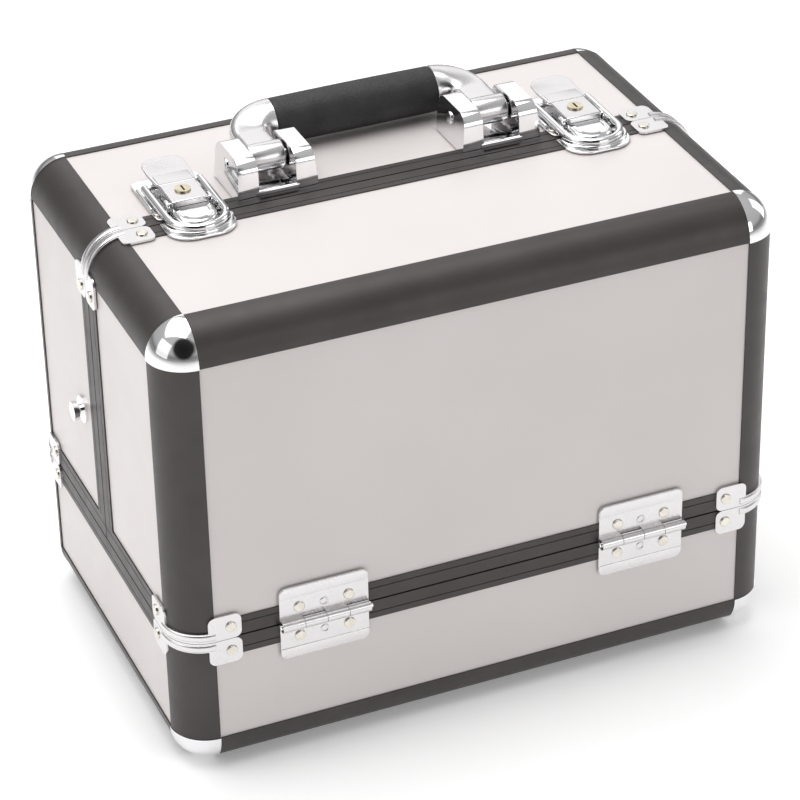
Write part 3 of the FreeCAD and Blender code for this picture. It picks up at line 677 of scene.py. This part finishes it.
    def join(self, others: Iterable["Blank"]) -> "Blank":
        """Join other pieces into this one.

        Args:
            others: the pieces to take in.

        Returns:
            The piece.
        """
        self.fresh()
        for other in others:
            other.obj.select_set(True)
        self.obj.select_set(True)
        bpy.context.view_layer.objects.active = self.obj
        bpy.ops.object.join()
        return self

    def mirrored(self) -> "Blank":
        """A copy reflected to the other end of the case, with its own mesh.

        Returns:
            The copy.
        """
        copy = self.obj.copy()
        copy.data = self.obj.data.copy()
        bpy.context.scene.collection.objects.link(copy)
        other = Blank(copy)
        copy.scale.x = -1.0
        other.fresh()
        copy.select_set(True)
        bpy.context.view_layer.objects.active = copy
        bpy.ops.object.transform_apply(location=True, rotation=True, scale=True)
        other.edit()
        bpy.ops.mesh.normals_make_consistent(inside=False)
        return other.leave()

    def turned_about_y(self) -> "Blank":
        """Reflect the piece to the other long side of the case.

        Returns:
            The piece.
        """
        self.fresh()
        self.obj.select_set(True)
        bpy.context.view_layer.objects.active = self.obj
        self.obj.scale.y = -1.0
        bpy.ops.object.transform_apply(location=True, rotation=True, scale=True)
        self.edit()
        bpy.ops.mesh.normals_make_consistent(inside=False)
        return self.leave()

    def done(self, name: str, body: str, material: bpy.types.Material, slot: str,
             replaced: Iterable[str] = ()) -> bpy.types.Object:
        """Name, shade, dress and seat the piece.

        Args:
            name: the piece's name.
            body: CAD body that it rides on.
            material: its finish.
            slot: name of a material slot; not used.
            replaced: CAD nodes that it stands for.

        Returns:
            The finished object.
        """
        self.fresh()
        self.obj.name = name
        self.obj.data.name = name
        self.obj.select_set(True)
        bpy.context.view_layer.objects.active = self.obj
        bpy.ops.object.shade_smooth_by_angle(angle=radians(SMOOTH_BELOW))
        self.obj.data.materials.clear()
        self.obj.data.materials.append(material)
        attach(self.obj, body)
        if replaced:
            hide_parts(*replaced)
        LOG.info("built %s on %s", name, body)
        return self.obj


# ----------------------------------------------------------------------
# Sub-assemblies
# ----------------------------------------------------------------------
def middle(node: str) -> Vector:
    """Centre of a CAD node's box, in millimetres."""
    low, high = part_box(node)
    return (low + high) / 2 / MM


def rounded_section(angle: float, half_width: float, half_height: float,
                    squareness: float) -> tuple[float, float]:
    """Point of a section that goes from an ellipse towards a rounded rectangle.

    Args:
        angle: direction from its middle.
        half_width: half its width.
        half_height: half its height.
        squareness: 2 for an ellipse, more for squarer corners.

    Returns:
        The point's two coordinates.
    """
    power = 2.0 / squareness
    across = math.copysign(abs(cos(angle)) ** power, cos(angle))
    up = math.copysign(abs(sin(angle)) ** power, sin(angle))
    return half_width * across, half_height * up


def ease(share: float) -> float:
    """Smooth step from 0 to 1."""
    held = min(1.0, max(0.0, share))
    return held * held * (3.0 - 2.0 * held)


@dataclass
class CarryHandle:
    """Two cast arms, a soft sleeve and the clevis mounts that they turn in."""

    finishes: Finishes
    grip_radius: float = 13.2
    sleeve_crown: float = 0.022
    sleeve_end_ring: float = 3.0
    sleeve_end_round: float = 1.4
    sleeve_cuts: int = 14
    collar_radius: float = 13.4
    collar_wire: float = 0.9
    collar_out: float = 0.6
    arm_centre: float = 67.0
    arm_half: float = 10.0
    arm_half_height: float = 6.6
    arm_steps: int = 30
    bend: float = 17.0
    bend_share: float = 0.55
    flatten_share: float = 0.6
    round_section: float = 2.0
    square_gain: float = 2.2
    eye_radius: float = 8.0
    eye_round: float = 1.0
    slot_width: float = 22.0
    mount_front_gap: float = 1.5
    ear_back_gap: float = 3.0
    ear_side_gap: float = 1.0
    ear_top_radius: float = 7.5
    ear_round: float = 1.5
    ear_lean: float = 2.2
    ear_rake: float = 1.6
    raked_depth: float = 8.0
    pin_head: float = 3.6
    pin_head_length: float = 3.0
    pin_head_round: float = 0.8
    web_overlap: float = 2.0
    sill_depth: float = 6.0
    sill_height: float = 5.0
    sill_round: float = 0.9
    web_front_gap: float = 3.0
    web_back_gap: float = 4.0
    web_height: float = 2.0
    web_round: float = 0.4

    def __post_init__(self) -> None:
        """Read the axis and the grip's place from the frame."""
        low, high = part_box("handle_grip")
        self.grip_y = middle("handle_grip").y
        self.axis_z = middle("handle_grip").z
        self.half_grip = (high.x - low.x) / 2 / MM
        self.axis_y = middle("handle_pins").y
        self.seat_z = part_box("back_lid_seam_rails")[1].z / MM

    def sleeve(self) -> None:
        """Soft sleeve, crowned, with rolled ends."""
        length = 2 * self.half_grip
        piece = Blank.rod((0, self.grip_y, self.axis_z), self.grip_radius, length, X_TURN, 96)
        piece.edit(lambda face: abs(face.normal.x) > 0.9)
        bpy.ops.mesh.inset(thickness=self.sleeve_end_ring * MM)
        piece.leave()
        piece.edit(lambda face: abs(face.normal.x) < 0.1)
        bpy.ops.mesh.subdivide(number_cuts=self.sleeve_cuts, quadcorner="INNERVERT")
        piece.leave()

        def crown(place: Vector) -> Vector:
            """Swell the middle a little.

            Args:
                place: a point of the piece in millimetres.

            Returns:
                Its new place.
            """
            share = place.x / self.half_grip
            swell = 1.0 + self.sleeve_crown * (1.0 - share * share)
            return Vector((place.x, self.grip_y + (place.y - self.grip_y) * swell,
                           self.axis_z + (place.z - self.axis_z) * swell))

        piece.reshape(crown).soften(self.sleeve_end_round, 4, 50.0)
        piece.done("grip_sleeve", "handle", self.finishes.sleeve, "grip", ["handle_grip"])

    def arm_place(self, share: float) -> tuple[Vector, Vector, float, float, float]:
        """Centre line and section of the right arm.

        Args:
            share: 0 at the grip and 1 at the eye.

        Returns:
            Centre, outward direction, half width, half height and squareness.
        """
        start = Vector((self.half_grip, self.grip_y, self.axis_z))
        if share < self.bend_share:
            angle = share / self.bend_share * pi / 2
            reach = self.arm_centre - self.half_grip
            centre = start + Vector((reach * sin(angle), -self.bend * (1 - cos(angle)), 0))
            outward = Vector((sin(angle), cos(angle), 0))
        else:
            run = self.grip_y - self.bend - self.axis_y
            along = (share - self.bend_share) / (1 - self.bend_share) * run
            centre = Vector((self.arm_centre, self.grip_y - self.bend - along, self.axis_z))
            outward = Vector((1, 0, 0))
        change = ease(share / self.flatten_share)
        half_width = self.collar_radius + (self.arm_half - self.collar_radius) * change
        half_height = self.collar_radius + (self.arm_half_height - self.collar_radius) * change
        squareness = self.round_section + self.square_gain * change
        return centre, outward, half_width, half_height, squareness

    def arm(self) -> Blank:
        """Right arm, swept from the grip's end round to the eye.

        Returns:
            The arm with its collar and eye.
        """
        piece = Blank.rod((0.5, 0, 0), 1.0, 1.0, X_TURN, 64)
        piece.edit(lambda face: face.normal.x > 0.9)
        for _ in range(self.arm_steps - 1):
            bpy.ops.mesh.extrude_region_move(TRANSFORM_OT_translate={"value": (MM, 0, 0)})
        piece.leave()

        def sweep(place: Vector) -> Vector:
            """Carry a point of the straight bar to the arm.

            Args:
                place: a point of the bar in millimetres.

            Returns:
                Its new place.
            """
            centre, outward, width, height, square = self.arm_place(place.x / self.arm_steps)
            across, up = rounded_section(math.atan2(place.z, place.y), width, height, square)
            return centre + outward * across + Vector((0, 0, up))

        piece.reshape(sweep)
        piece.edit()
        bpy.ops.mesh.normals_make_consistent(inside=False)
        piece.leave()
        eye = Blank.rod((self.arm_centre, self.axis_y, self.axis_z), self.eye_radius,
                        2 * self.arm_half, X_TURN, 64).soften(self.eye_round, 4)
        collar = Blank.ring((self.half_grip + self.collar_out, self.grip_y, self.axis_z),
                            self.collar_radius - self.collar_wire, self.collar_wire, X_TURN)
        return piece.join([eye, collar])

    def arms(self) -> None:
        """Both arms."""
        right = self.arm()
        left = right.mirrored()
        for name, piece in (("right", right), ("left", left)):
            piece.done("handle_arm_" + name, "handle", self.finishes.satin, "chrome",
                       ["handle_arms"])

    def ear(self, side: int, low: Vector, high: Vector) -> Blank:
        """One ear of the right clevis, drawn in towards its top.

        Args:
            side: -1 for the inner ear and 1 for the outer one.
            low: lowest corner of the mounts, in millimetres.
            high: highest corner of the mounts, in millimetres.

        Returns:
            The ear.
        """
        inner = self.slot_width / 2
        near = self.arm_centre + side * inner
        far = self.arm_centre + side * (high.x - self.arm_centre - self.ear_side_gap)
        ear = Blank.block((min(near, far), low.y + self.mount_front_gap, self.seat_z),
                          (max(near, far), high.y - self.ear_back_gap, high.z))
        ear.round_edges(lambda a, b: abs(a.x - b.x) > 1 * MM and a.z > (high.z - 1) * MM,
                        self.ear_top_radius, 10)

        def taper(place: Vector) -> Vector:
            """Draw the outside and the front in towards the top.

            Args:
                place: a point of the piece in millimetres.

            Returns:
                Its new place.
            """
            rise = (place.z - self.seat_z) / (high.z - self.seat_z)
            outer = (place.x - self.arm_centre) * side > inner + 1
            lean = self.ear_lean * rise if outer else 0.0
            back = self.ear_rake * rise if place.y < low.y + self.raked_depth else 0.0
            return Vector((place.x - side * lean, place.y + back, place.z))

        return ear.reshape(taper).soften(self.ear_round, 5)

    def mount(self) -> Blank:
        """Right clevis: a cast block with two ears and an open slot between them.

        Returns:
            The clevis.
        """
        low, high = (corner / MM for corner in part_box("handle_mounts"))
        half = high.x - self.arm_centre
        reach = self.slot_width / 2 + self.web_overlap
        parts = []
        for side in (-1, 1):
            parts.append(self.ear(side, low, high))
            head_x = self.arm_centre + side * (half - self.pin_head_length)
            head = Blank.rod((head_x, self.axis_y, self.axis_z), self.pin_head,
                             self.pin_head_length, X_TURN, 40)
            parts.append(head.soften(self.pin_head_round, 4))
        sill = Blank.block((self.arm_centre - reach, low.y + self.mount_front_gap, self.seat_z),
                           (self.arm_centre + reach, low.y + self.sill_depth,
                            self.seat_z + self.sill_height))
        web = Blank.block((self.arm_centre - reach, low.y + self.web_front_gap, self.seat_z),
                          (self.arm_centre + reach, high.y - self.web_back_gap,
                           self.seat_z + self.web_height))
        parts.append(sill.soften(self.sill_round, 4))
        parts.append(web.soften(self.web_round, 2))
        return parts[0].join(parts[1:])

    def mounts(self) -> None:
        """Both mounts."""
        right = self.mount()
        left = right.mirrored()
        for name, piece in (("right", right), ("left", left)):
            piece.done("handle_mount_" + name, "back_lid", self.finishes.chrome, "chrome",
                       ["handle_mounts"])

    def build(self) -> None:
        """Make the handle."""
        self.sleeve()
        self.arms()
        self.mounts()


@dataclass
class DrawLatch:
    """One draw latch: base, lever with its lock cover, and strike with its hook."""

    finishes: Finishes
    side: Side
    half_width: float = 10.5
    lever_sink: float = 0.6
    cover_inset: float = 0.4
    cover_end: float = 17.0
    cover_front_round: float = 1.0
    cover_round: float = 0.8
    plug_bore: float = 4.55
    bore_length: float = 9.0
    fold_back: float = 10.0
    crease_radius: float = 0.55
    crease_sink: float = 0.3
    crease_over: float = 2.0
    tab_start: float = 1.0
    tab_side: float = 0.6
    tab_under: float = 1.9
    tab_over: float = 0.5
    tab_corner: float = 7.0
    tab_cuts: tuple[float, float] = (8.0, 16.0)
    tab_curl_start: float = 2.0
    tab_lift: float = 2.4
    tab_drop: float = 0.6
    tab_flare: float = 0.12
    flare_speed: float = 3.0
    drop_speed: float = 2.0
    tab_round: float = 0.6
    plate_half: float = 20.0
    plate_thick: float = 1.2
    plate_round: float = 0.4
    strike_end: float = -2.0
    strike_corner: float = 14.0
    lip_wire: float = 1.3
    lip_up: float = 1.9
    lip_centre: float = 0.8
    lip_squash: float = 0.80
    loop_wire: float = 2.2
    hook_clear: float = 2.0
    hook_radius: float = 11.8
    hook_back_gap: float = 0.4
    hook_low: float = 2.3
    hook_top: float = 6.0
    hook_round: float = 2.6
    hook_bulge: float = 1.2
    hook_crown: float = 0.6
    hook_inset: float = 2.0
    hook_insets: int = 3
    neck_radius: float = 10.3
    neck_forward: float = 0.5
    neck_up: float = 1.6
    neck_height: float = 2.4
    base_corner: float = 5.0
    ear_x: float = 12.25
    ear_half: float = 0.75
    ear_span: tuple[float, float] = (2.0, 10.0)
    ear_low: float = 0.4
    ear_top: float = 8.8
    ear_corner: float = 3.2
    ear_round: float = 0.4
    rim_wire: float = 0.9
    rim_up: float = 2.2
    rim_start: float = 12.0
    rim_end: float = 37.0
    rim_length: float = 25.0
    rim_round: float = 0.5
    wall_half: float = 0.5
    wall_low: float = 0.3
    wall_top: float = 2.4
    wall_round: float = 0.2

    def __post_init__(self) -> None:
        """Read the places from the frame."""
        self.name = "left" if self.side is Side.NEGATIVE else "right"
        self.plug = middle(self.name + "_key_plug")
        self.x = self.plug.x
        self.lever = [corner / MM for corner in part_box(self.name + "_latch_lever")]
        self.loop = [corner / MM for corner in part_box(self.name + "_latch_loop")]
        self.strike = [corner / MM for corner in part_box("latch_strikes")]
        self.base = [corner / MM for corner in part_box("latch_bases")]
        self.seat_z = self.base[0].z

    def cover(self, top: float, fold: float) -> Blank:
        """Flat lock cover with the plug's bore and a crease at its back.

        Args:
            top: height of the lever's top.
            fold: place of the crease along the lever.

        Returns:
            The cover.
        """
        low, high = self.lever
        cover = Blank.block((self.x - self.half_width, low.y, low.z + self.cover_inset),
                            (self.x + self.half_width, high.y - self.cover_end,
                             top - self.cover_inset))
        cover.round_edges(lambda a, b: abs(a.x - b.x) > 1 * MM and a.y < (low.y + 1) * MM,
                          self.cover_front_round, 6)
        cover.soften(self.cover_round, 4)
        cover.cut(Blank.rod((self.x, self.plug.y, top), self.plug_bore, self.bore_length,
                            NO_TURN, 64))
        crease_length = 2 * self.half_width + self.crease_over
        return cover.cut(Blank.rod((self.x, fold, top - self.crease_sink), self.crease_radius,
                                   crease_length, X_TURN, 16))

    def tab(self, top: float, fold: float) -> Blank:
        """Finger tab that flares and curls up behind the crease.

        Args:
            top: height of the lever's top.
            fold: place of the crease along the lever.

        Returns:
            The tab.
        """
        end = self.lever[1].y
        half = self.half_width + self.tab_side
        tab = Blank.block((self.x - half, fold + self.tab_start, top - self.tab_under),
                          (self.x + half, end, top - self.tab_over))
        tab.round_edges(lambda a, b: abs(a.z - b.z) > 1 * MM and a.y > (end - 2) * MM,
                        self.tab_corner, 12)
        for distance in self.tab_cuts:
            tab.edit()
            bpy.ops.mesh.bisect(plane_co=(0, (fold + distance) * MM, 0), plane_no=(0, 1, 0))
            tab.leave()

        def curl(place: Vector) -> Vector:
            """Lift the tab towards its end and flare its width.

            Args:
                place: a point of the piece in millimetres.

            Returns:
                Its new place.
            """
            start = fold + self.tab_curl_start
            share = max(0.0, (place.y - start) / (end - start))
            flare = 1.0 + self.tab_flare * ease(self.flare_speed * share)
            rise = (self.tab_lift * share * share
                    - self.tab_drop * ease(self.drop_speed * share))
            return Vector((self.x + (place.x - self.x) * flare, place.y, place.z + rise))

        return tab.reshape(curl).soften(self.tab_round, 4)

    def make_lever(self) -> None:
        """Lever: lock cover and finger tab."""
        top = self.lever[1].z - self.lever_sink
        fold = self.plug.y + self.fold_back
        lever = self.cover(top, fold).join([self.tab(top, fold)])
        node = self.name + "_latch_lever"
        lever.done(node + "_cover", node, self.finishes.satin, "chrome", [node])

    def lip(self) -> Blank:
        """Rolled lip round the strike's front, a squashed half ring.

        Returns:
            The lip.
        """
        front = self.strike[0].y + self.lip_wire
        centre_y = front + self.plate_half * self.lip_centre
        lip = Blank.ring((self.x, centre_y, self.seat_z + self.lip_up),
                         self.plate_half - self.lip_wire, self.lip_wire)
        lip.halved((0, centre_y, 0), (0, 1, 0))
        return lip.reshape(lambda place: Vector(
            (place.x, centre_y + self.lip_squash * (place.y - centre_y), place.z)))

    def hook(self, centre_y: float) -> Blank:
        """D shaped domed hook inside the front of the loop.

        Args:
            centre_y: centre of its round front.

        Returns:
            The hook.
        """
        top = self.seat_z + self.hook_top
        front = centre_y - self.hook_radius
        back = self.lever[0].y - self.hook_back_gap
        dome = Blank.block((self.x - self.hook_radius, front, self.seat_z + self.hook_low),
                           (self.x + self.hook_radius, back, top))
        dome.round_edges(lambda a, b: abs(a.z - b.z) > 1 * MM and a.y < (front + 1) * MM,
                         self.hook_radius - NEAR, 24)
        dome.round_edges(lambda a, b: min(a.z, b.z) > (top - NEAR) * MM
                         and min(a.y, b.y) < (back - NEAR) * MM, self.hook_round, 10)
        dome.edit(lambda face: face.normal.z > 0.99)
        for _ in range(self.hook_insets):
            bpy.ops.mesh.inset(thickness=self.hook_inset * MM)
        dome.leave()

        def bulge(place: Vector) -> Vector:
            """Raise the top face towards its middle.

            Args:
                place: a point of the piece in millimetres.

            Returns:
                Its new place.
            """
            if place.z < top - NEAR:
                return place
            reach = math.hypot(place.x - self.x, place.y - centre_y) / self.hook_radius
            return Vector((place.x, place.y,
                           place.z + self.hook_bulge * max(0.0, self.hook_crown - reach * reach)))

        return dome.reshape(bulge)

    def make_strike(self) -> None:
        """Strike: plate with a rolled front lip and the domed hook on its neck."""
        y0 = self.strike[0].y
        z0 = self.seat_z
        plate = Blank.block((self.x - self.plate_half, y0, z0),
                            (self.x + self.plate_half, self.strike_end, z0 + self.plate_thick))
        plate.round_edges(lambda a, b: abs(a.z - b.z) > 0.5 * MM and a.y < (y0 + 1) * MM,
                          self.strike_corner, 18)
        plate.soften(self.plate_round, 3)
        hook_y = self.loop[0].y + 2 * self.loop_wire + self.hook_clear + self.hook_radius
        neck = Blank.rod((self.x, hook_y - self.neck_forward, z0 + self.neck_up), self.neck_radius,
                         self.neck_height, NO_TURN, 64)
        neck.halved((0, self.strike_end, 0), (0, 1, 0))
        plate.join([self.lip(), self.hook(hook_y), neck])
        plate.done(self.name + "_strike_plate", "front_lid", self.finishes.chrome, "chrome",
                   ["latch_strikes"])

    def base_side(self, side: int) -> list[Blank]:
        """Ear, rolled rim and rim wall at one side of the base.

        Args:
            side: -1 or 1 along X.

        Returns:
            The three pieces.
        """
        y0 = self.base[0].y
        z0 = self.seat_z
        ear_x = self.x + side * self.ear_x
        ear = Blank.block((ear_x - self.ear_half, y0 + self.ear_span[0], z0 + self.ear_low),
                          (ear_x + self.ear_half, y0 + self.ear_span[1], z0 + self.ear_top))
        ear.round_edges(lambda a, b: abs(a.x - b.x) > 0.5 * MM and a.z > (z0 + 8) * MM,
                        self.ear_corner, 8)
        rim_x = self.x + side * (self.plate_half - self.rim_wire)
        rim_y = (y0 + self.rim_start + self.rim_end) / 2
        rim = Blank.rod((rim_x, rim_y, z0 + self.rim_up), self.rim_wire, self.rim_length, Y_TURN, 20)
        wall = Blank.block((rim_x - self.wall_half, y0 + self.rim_start, z0 + self.wall_low),
                           (rim_x + self.wall_half, self.rim_end, z0 + self.wall_top))
        return [ear.soften(self.ear_round, 2), rim.soften(self.rim_round, 3),
                wall.soften(self.wall_round, 2)]

    def make_base(self) -> None:
        """Base plate with its ears and rolled side rims."""
        plate = Blank.block((self.x - self.plate_half, self.base[0].y, self.seat_z),
                            (self.x + self.plate_half, self.base[1].y,
                             self.seat_z + self.plate_thick))
        plate.round_edges(lambda a, b: abs(a.z - b.z) > 0.5 * MM, self.base_corner, 8)
        plate.soften(self.plate_round, 3)
        plate.join(self.base_side(-1) + self.base_side(1))
        plate.done(self.name + "_latch_base_plate", "back_lid", self.finishes.chrome, "chrome",
                   ["latch_bases"])

    def build(self) -> None:
        """Make the latch."""
        self.make_lever()
        self.make_strike()
        self.make_base()


@dataclass
class StrapBeads:
    """Raised band pressed along each strap where it turns over an edge."""

    finishes: Finishes
    turn: float = 22.7
    wire: float = 0.8
    half_band: float = 2.0
    off_seam: float = 3.4
    sides: int = 128

    def __post_init__(self) -> None:
        """Read the straps' outer face and the seams from the frame."""
        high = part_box("tub_seam_straps")[1]
        self.half_x = high.x / MM
        self.half_y = high.y / MM
        self.seam_z = middle("hinge_pins").z
        self.top_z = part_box("front_lid_straps")[1].z / MM

    def quarter(self, centre: Vector, axis: str) -> Blank:
        """A quarter ring of a low crowned band over one edge.

        Args:
            centre: centre of the turn in millimetres.
            axis: axis of the turn, Z round an upright edge or Y over a top edge.

        Returns:
            The piece.
        """
        ring = Blank.ring(tuple(centre), self.turn, self.wire,
                          NO_TURN if axis == "Z" else Y_TURN, self.sides)
        stretch = self.half_band / self.wire

        def flatten(place: Vector) -> Vector:
            """Widen the wire along the axis.

            Args:
                place: a point of the piece in millimetres.

            Returns:
                Its new place.
            """
            if axis == "Z":
                return Vector((place.x, place.y, centre.z + (place.z - centre.z) * stretch))
            return Vector((place.x, centre.y + (place.y - centre.y) * stretch, place.z))

        ring.reshape(flatten)
        ring.halved(tuple(centre), (1, 0, 0))
        return ring.halved(tuple(centre), (0, 1, 0) if axis == "Z" else (0, 0, -1))

    def build(self) -> None:
        """Make the bands of every half strap."""
        corner = Vector((-self.half_x + self.turn, -self.half_y + self.turn, 0))
        for body, rise, flips in (("tub", -self.off_seam, (1, -1)),
                                  ("front_lid", self.off_seam, (1,)),
                                  ("back_lid", self.off_seam, (-1,))):
            rings = []
            for flip in flips:
                ring = self.quarter(corner + Vector((0, 0, self.seam_z + rise)), "Z")
                if flip < 0:
                    ring.turned_about_y()
                rings.extend([ring, ring.mirrored()])
            if body != "tub":
                sign = -1 if body == "front_lid" else 1
                centre = Vector((-self.half_x + self.turn, sign * self.off_seam,
                                 self.top_z - self.turn))
                ring = self.quarter(centre, "Y")
                rings.extend([ring, ring.mirrored()])
            rings[0].join(rings[1:])
            rings[0].done(body + "_strap_beads", body, self.finishes.satin, "chrome")


@dataclass
class LeafHinges:
    """Pressed outer band and middle dimple of the leaf hinges."""

    finishes: Finishes
    places: tuple[float, float] = (-96.0, 96.0)
    leaf_half: float = 26.0
    leaf_thick: float = 1.2
    edge_gap: float = 0.25
    band_corner: float = 3.7
    band_round: float = 0.25
    crease_up: float = 16.3
    dimple_down: float = 9.0
    dimple_radius: float = 2.1
    dimple_wire: float = 0.45
    proud: float = 0.3
    buried: float = 0.7

    def band(self, x: float, face: int, rise: int, heights: tuple[float, float],
             outside: float) -> Blank:
        """One raised band along the far edge of a leaf.

        Args:
            x: middle of the hinge.
            face: -1 on the front and 1 on the back.
            rise: 1 for a lid's leaf and -1 for the tub's.
            heights: height of the hinge pin and of the leaf's far edge.
            outside: distance of the leaf's outer face from the middle.

        Returns:
            The piece.
        """
        seam, far = heights
        edge = far - rise * self.edge_gap
        depths = sorted((face * (outside + self.proud), face * (outside - self.buried)))
        span = sorted((seam + rise * self.crease_up, edge))
        half = self.leaf_half - self.edge_gap
        band = Blank.block((x - half, depths[0], span[0]), (x + half, depths[1], span[1]))
        band.round_edges(lambda a, b: abs(a.y - b.y) > 0.3 * MM
                         and abs(a.z - edge * MM) < NEAR * MM, self.band_corner, 8)
        return band.soften(self.band_round, 3)

    def build(self) -> None:
        """Make the bands and dimples of every leaf."""
        seam = middle("hinge_pins").z
        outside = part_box("tub_seam_rails")[1].y / MM + self.leaf_thick
        for body, rise, faces in (("tub", -1, (-1, 1)), ("front_lid", 1, (-1,)),
                                  ("back_lid", 1, (1,))):
            low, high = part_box(body + "_hinge_leaves")
            far = (high.z if rise > 0 else low.z) / MM
            parts = []
            for face in faces:
                for x in self.places:
                    parts.append(self.band(x, face, rise, (seam, far), outside))
                    dimple_place = (x, face * outside, seam + rise * self.dimple_down)
                    parts.append(Blank.ring(dimple_place, self.dimple_radius, self.dimple_wire,
                                            Y_TURN, 40))
            parts[0].join(parts[1:])
            parts[0].done(body + "_leaf_bands", body, self.finishes.satin, "chrome")


# ----------------------------------------------------------------------
# Studio
# ----------------------------------------------------------------------
@dataclass(frozen=True)
class Softbox:
    """One large soft light."""

    name: str
    place: tuple[float, float, float]
    aim: tuple[float, float, float]
    width: float
    height: float
    power: float

    def build(self) -> None:
        """Hang the light."""
        lamp = bpy.data.lights.new(self.name, "AREA")
        lamp.shape = "RECTANGLE"
        lamp.size = self.width
        lamp.size_y = self.height
        lamp.energy = self.power
        obj = bpy.data.objects.new(self.name, lamp)
        bpy.context.scene.collection.objects.link(obj)
        obj.location = self.place
        facing = Vector(self.aim) - Vector(self.place)
        obj.rotation_mode = "QUATERNION"
        obj.rotation_quaternion = facing.to_track_quat("-Z", "Y")


@dataclass(frozen=True)
class Studio:
    """Pale floor, soft lights and the camera."""

    finishes: Finishes
    camera_place: tuple[float, float, float] = (-0.6114, -1.4852, 1.1196)
    camera_aim: tuple[float, float, float] = (0.0005, 0.0, 0.1328)
    camera_roll: float = -1.25
    lens: float = 147.3
    clip: tuple[float, float] = (0.05, 60.0)
    floor_size: float = 14.0
    world_strength: float = 0.55
    sky_tones: tuple[tuple[float, float], ...] = ((0.0, 0.62), (0.14, 0.34), (0.30, 0.80),
                                                  (1.0, 1.0))
    patch_tones: tuple[tuple[float, float], ...] = ((0.0, 1.0), (0.84, 1.0), (0.90, 0.05),
                                                    (1.0, 0.03))

    def floor(self) -> None:
        """Lay the floor."""
        Blank.fresh()
        bpy.ops.mesh.primitive_plane_add(size=self.floor_size, location=(0, 0, 0))
        ground = bpy.context.object
        ground.name = "studio_floor"
        ground.data.materials.append(self.finishes.floor)

    def camera(self) -> None:
        """Place the camera."""
        data = bpy.data.cameras.new("camera")
        data.lens = self.lens
        data.clip_start, data.clip_end = self.clip
        camera = bpy.data.objects.new("camera", data)
        bpy.context.scene.collection.objects.link(camera)
        camera.location = self.camera_place
        facing = Vector(self.camera_aim) - Vector(self.camera_place)
        level = facing.to_track_quat("-Z", "Y")
        camera.rotation_mode = "QUATERNION"
        camera.rotation_quaternion = level @ Quaternion((0, 0, 1), radians(self.camera_roll))
        bpy.context.scene.camera = camera

    def world(self) -> None:
        """Set pale surroundings with a dark patch behind the camera, so chrome has contrast."""
        world = bpy.data.worlds.new("studio")
        bpy.context.scene.world = world
        world.use_nodes = True
        nodes = world.node_tree.nodes
        links = world.node_tree.links
        direction = nodes.new("ShaderNodeTexCoord").outputs["Generated"]
        split = nodes.new("ShaderNodeSeparateXYZ")
        links.new(direction, split.inputs["Vector"])
        sky = self.ramp(nodes, self.sky_tones)
        links.new(split.outputs["Z"], sky.inputs["Fac"])
        facing = nodes.new("ShaderNodeVectorMath")
        facing.operation = "DOT_PRODUCT"
        facing.inputs[1].default_value = Vector(self.camera_place).normalized()
        links.new(direction, facing.inputs[0])
        patch = self.ramp(nodes, self.patch_tones)
        links.new(facing.outputs["Value"], patch.inputs["Fac"])
        shade = nodes.new("ShaderNodeMixRGB")
        shade.blend_type = "MULTIPLY"
        shade.inputs["Fac"].default_value = 1.0
        links.new(sky.outputs["Color"], shade.inputs["Color1"])
        links.new(patch.outputs["Color"], shade.inputs["Color2"])
        links.new(shade.outputs["Color"], nodes["Background"].inputs["Color"])
        nodes["Background"].inputs["Strength"].default_value = self.world_strength

    @staticmethod
    def ramp(nodes: bpy.types.Nodes, stops: tuple[tuple[float, float], ...]) -> bpy.types.Node:
        """A grey ramp.

        Args:
            nodes: the tree's nodes.
            stops: position and tone of each stop, lowest first.

        Returns:
            The ramp.
        """
        node = nodes.new("ShaderNodeValToRGB")
        elements = node.color_ramp.elements
        for place, (position, tone) in zip((elements[0], elements[1]), (stops[0], stops[-1])):
            place.position = position
            place.color = (tone, tone, tone, 1.0)
        for position, tone in stops[1:-1]:
            elements.new(position).color = (tone, tone, tone, 1.0)
        return node

    def build(self) -> None:
        """Set up the studio."""
        self.camera()
        self.floor()
        self.world()
        bpy.context.scene.view_settings.view_transform = "Standard"
        lights = (
            Softbox("top_soft", (-0.3, 0.3, 1.9), (0, 0, 0.2), 1.9, 1.9, 31.0),
            Softbox("left_soft", (-1.9, -0.2, 0.9), (0, 0, 0.15), 1.3, 1.3, 4.2),
            Softbox("front_soft", (0.9, -2.0, 0.8), (0, 0, 0.15), 1.2, 0.9, 6.0),
            Softbox("back_soft", (0.8, 1.9, 1.3), (0, 0, 0.2), 2.0, 1.3, 6.4),
            Softbox("right_soft", (1.9, 0.2, 0.9), (0, 0, 0.15), 0.8, 1.2, 4.0),
        )
        for light in lights:
            light.build()


def dress_cad_nodes(finishes: Finishes) -> None:
    """Give every CAD node its finish.

    Args:
        finishes: the case's finishes.
    """
    for name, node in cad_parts.items():
        material = finishes.for_node(name)
        if not node.material_slots:
            node.data.materials.append(material)
        for material_slot in node.material_slots:
            material_slot.material = material
        LOG.info("dressed %s with %s", name, material.name)


def main() -> None:
    """Build the whole scene in order."""
    logging.basicConfig(level=logging.INFO)
    finishes = Finishes()
    dress_cad_nodes(finishes)
    CarryHandle(finishes).build()
    for side in Side:
        DrawLatch(finishes, side).build()
    StrapBeads(finishes).build()
    LeafHinges(finishes).build()
    Studio(finishes).build()


if __name__ == "__main__":
    main()
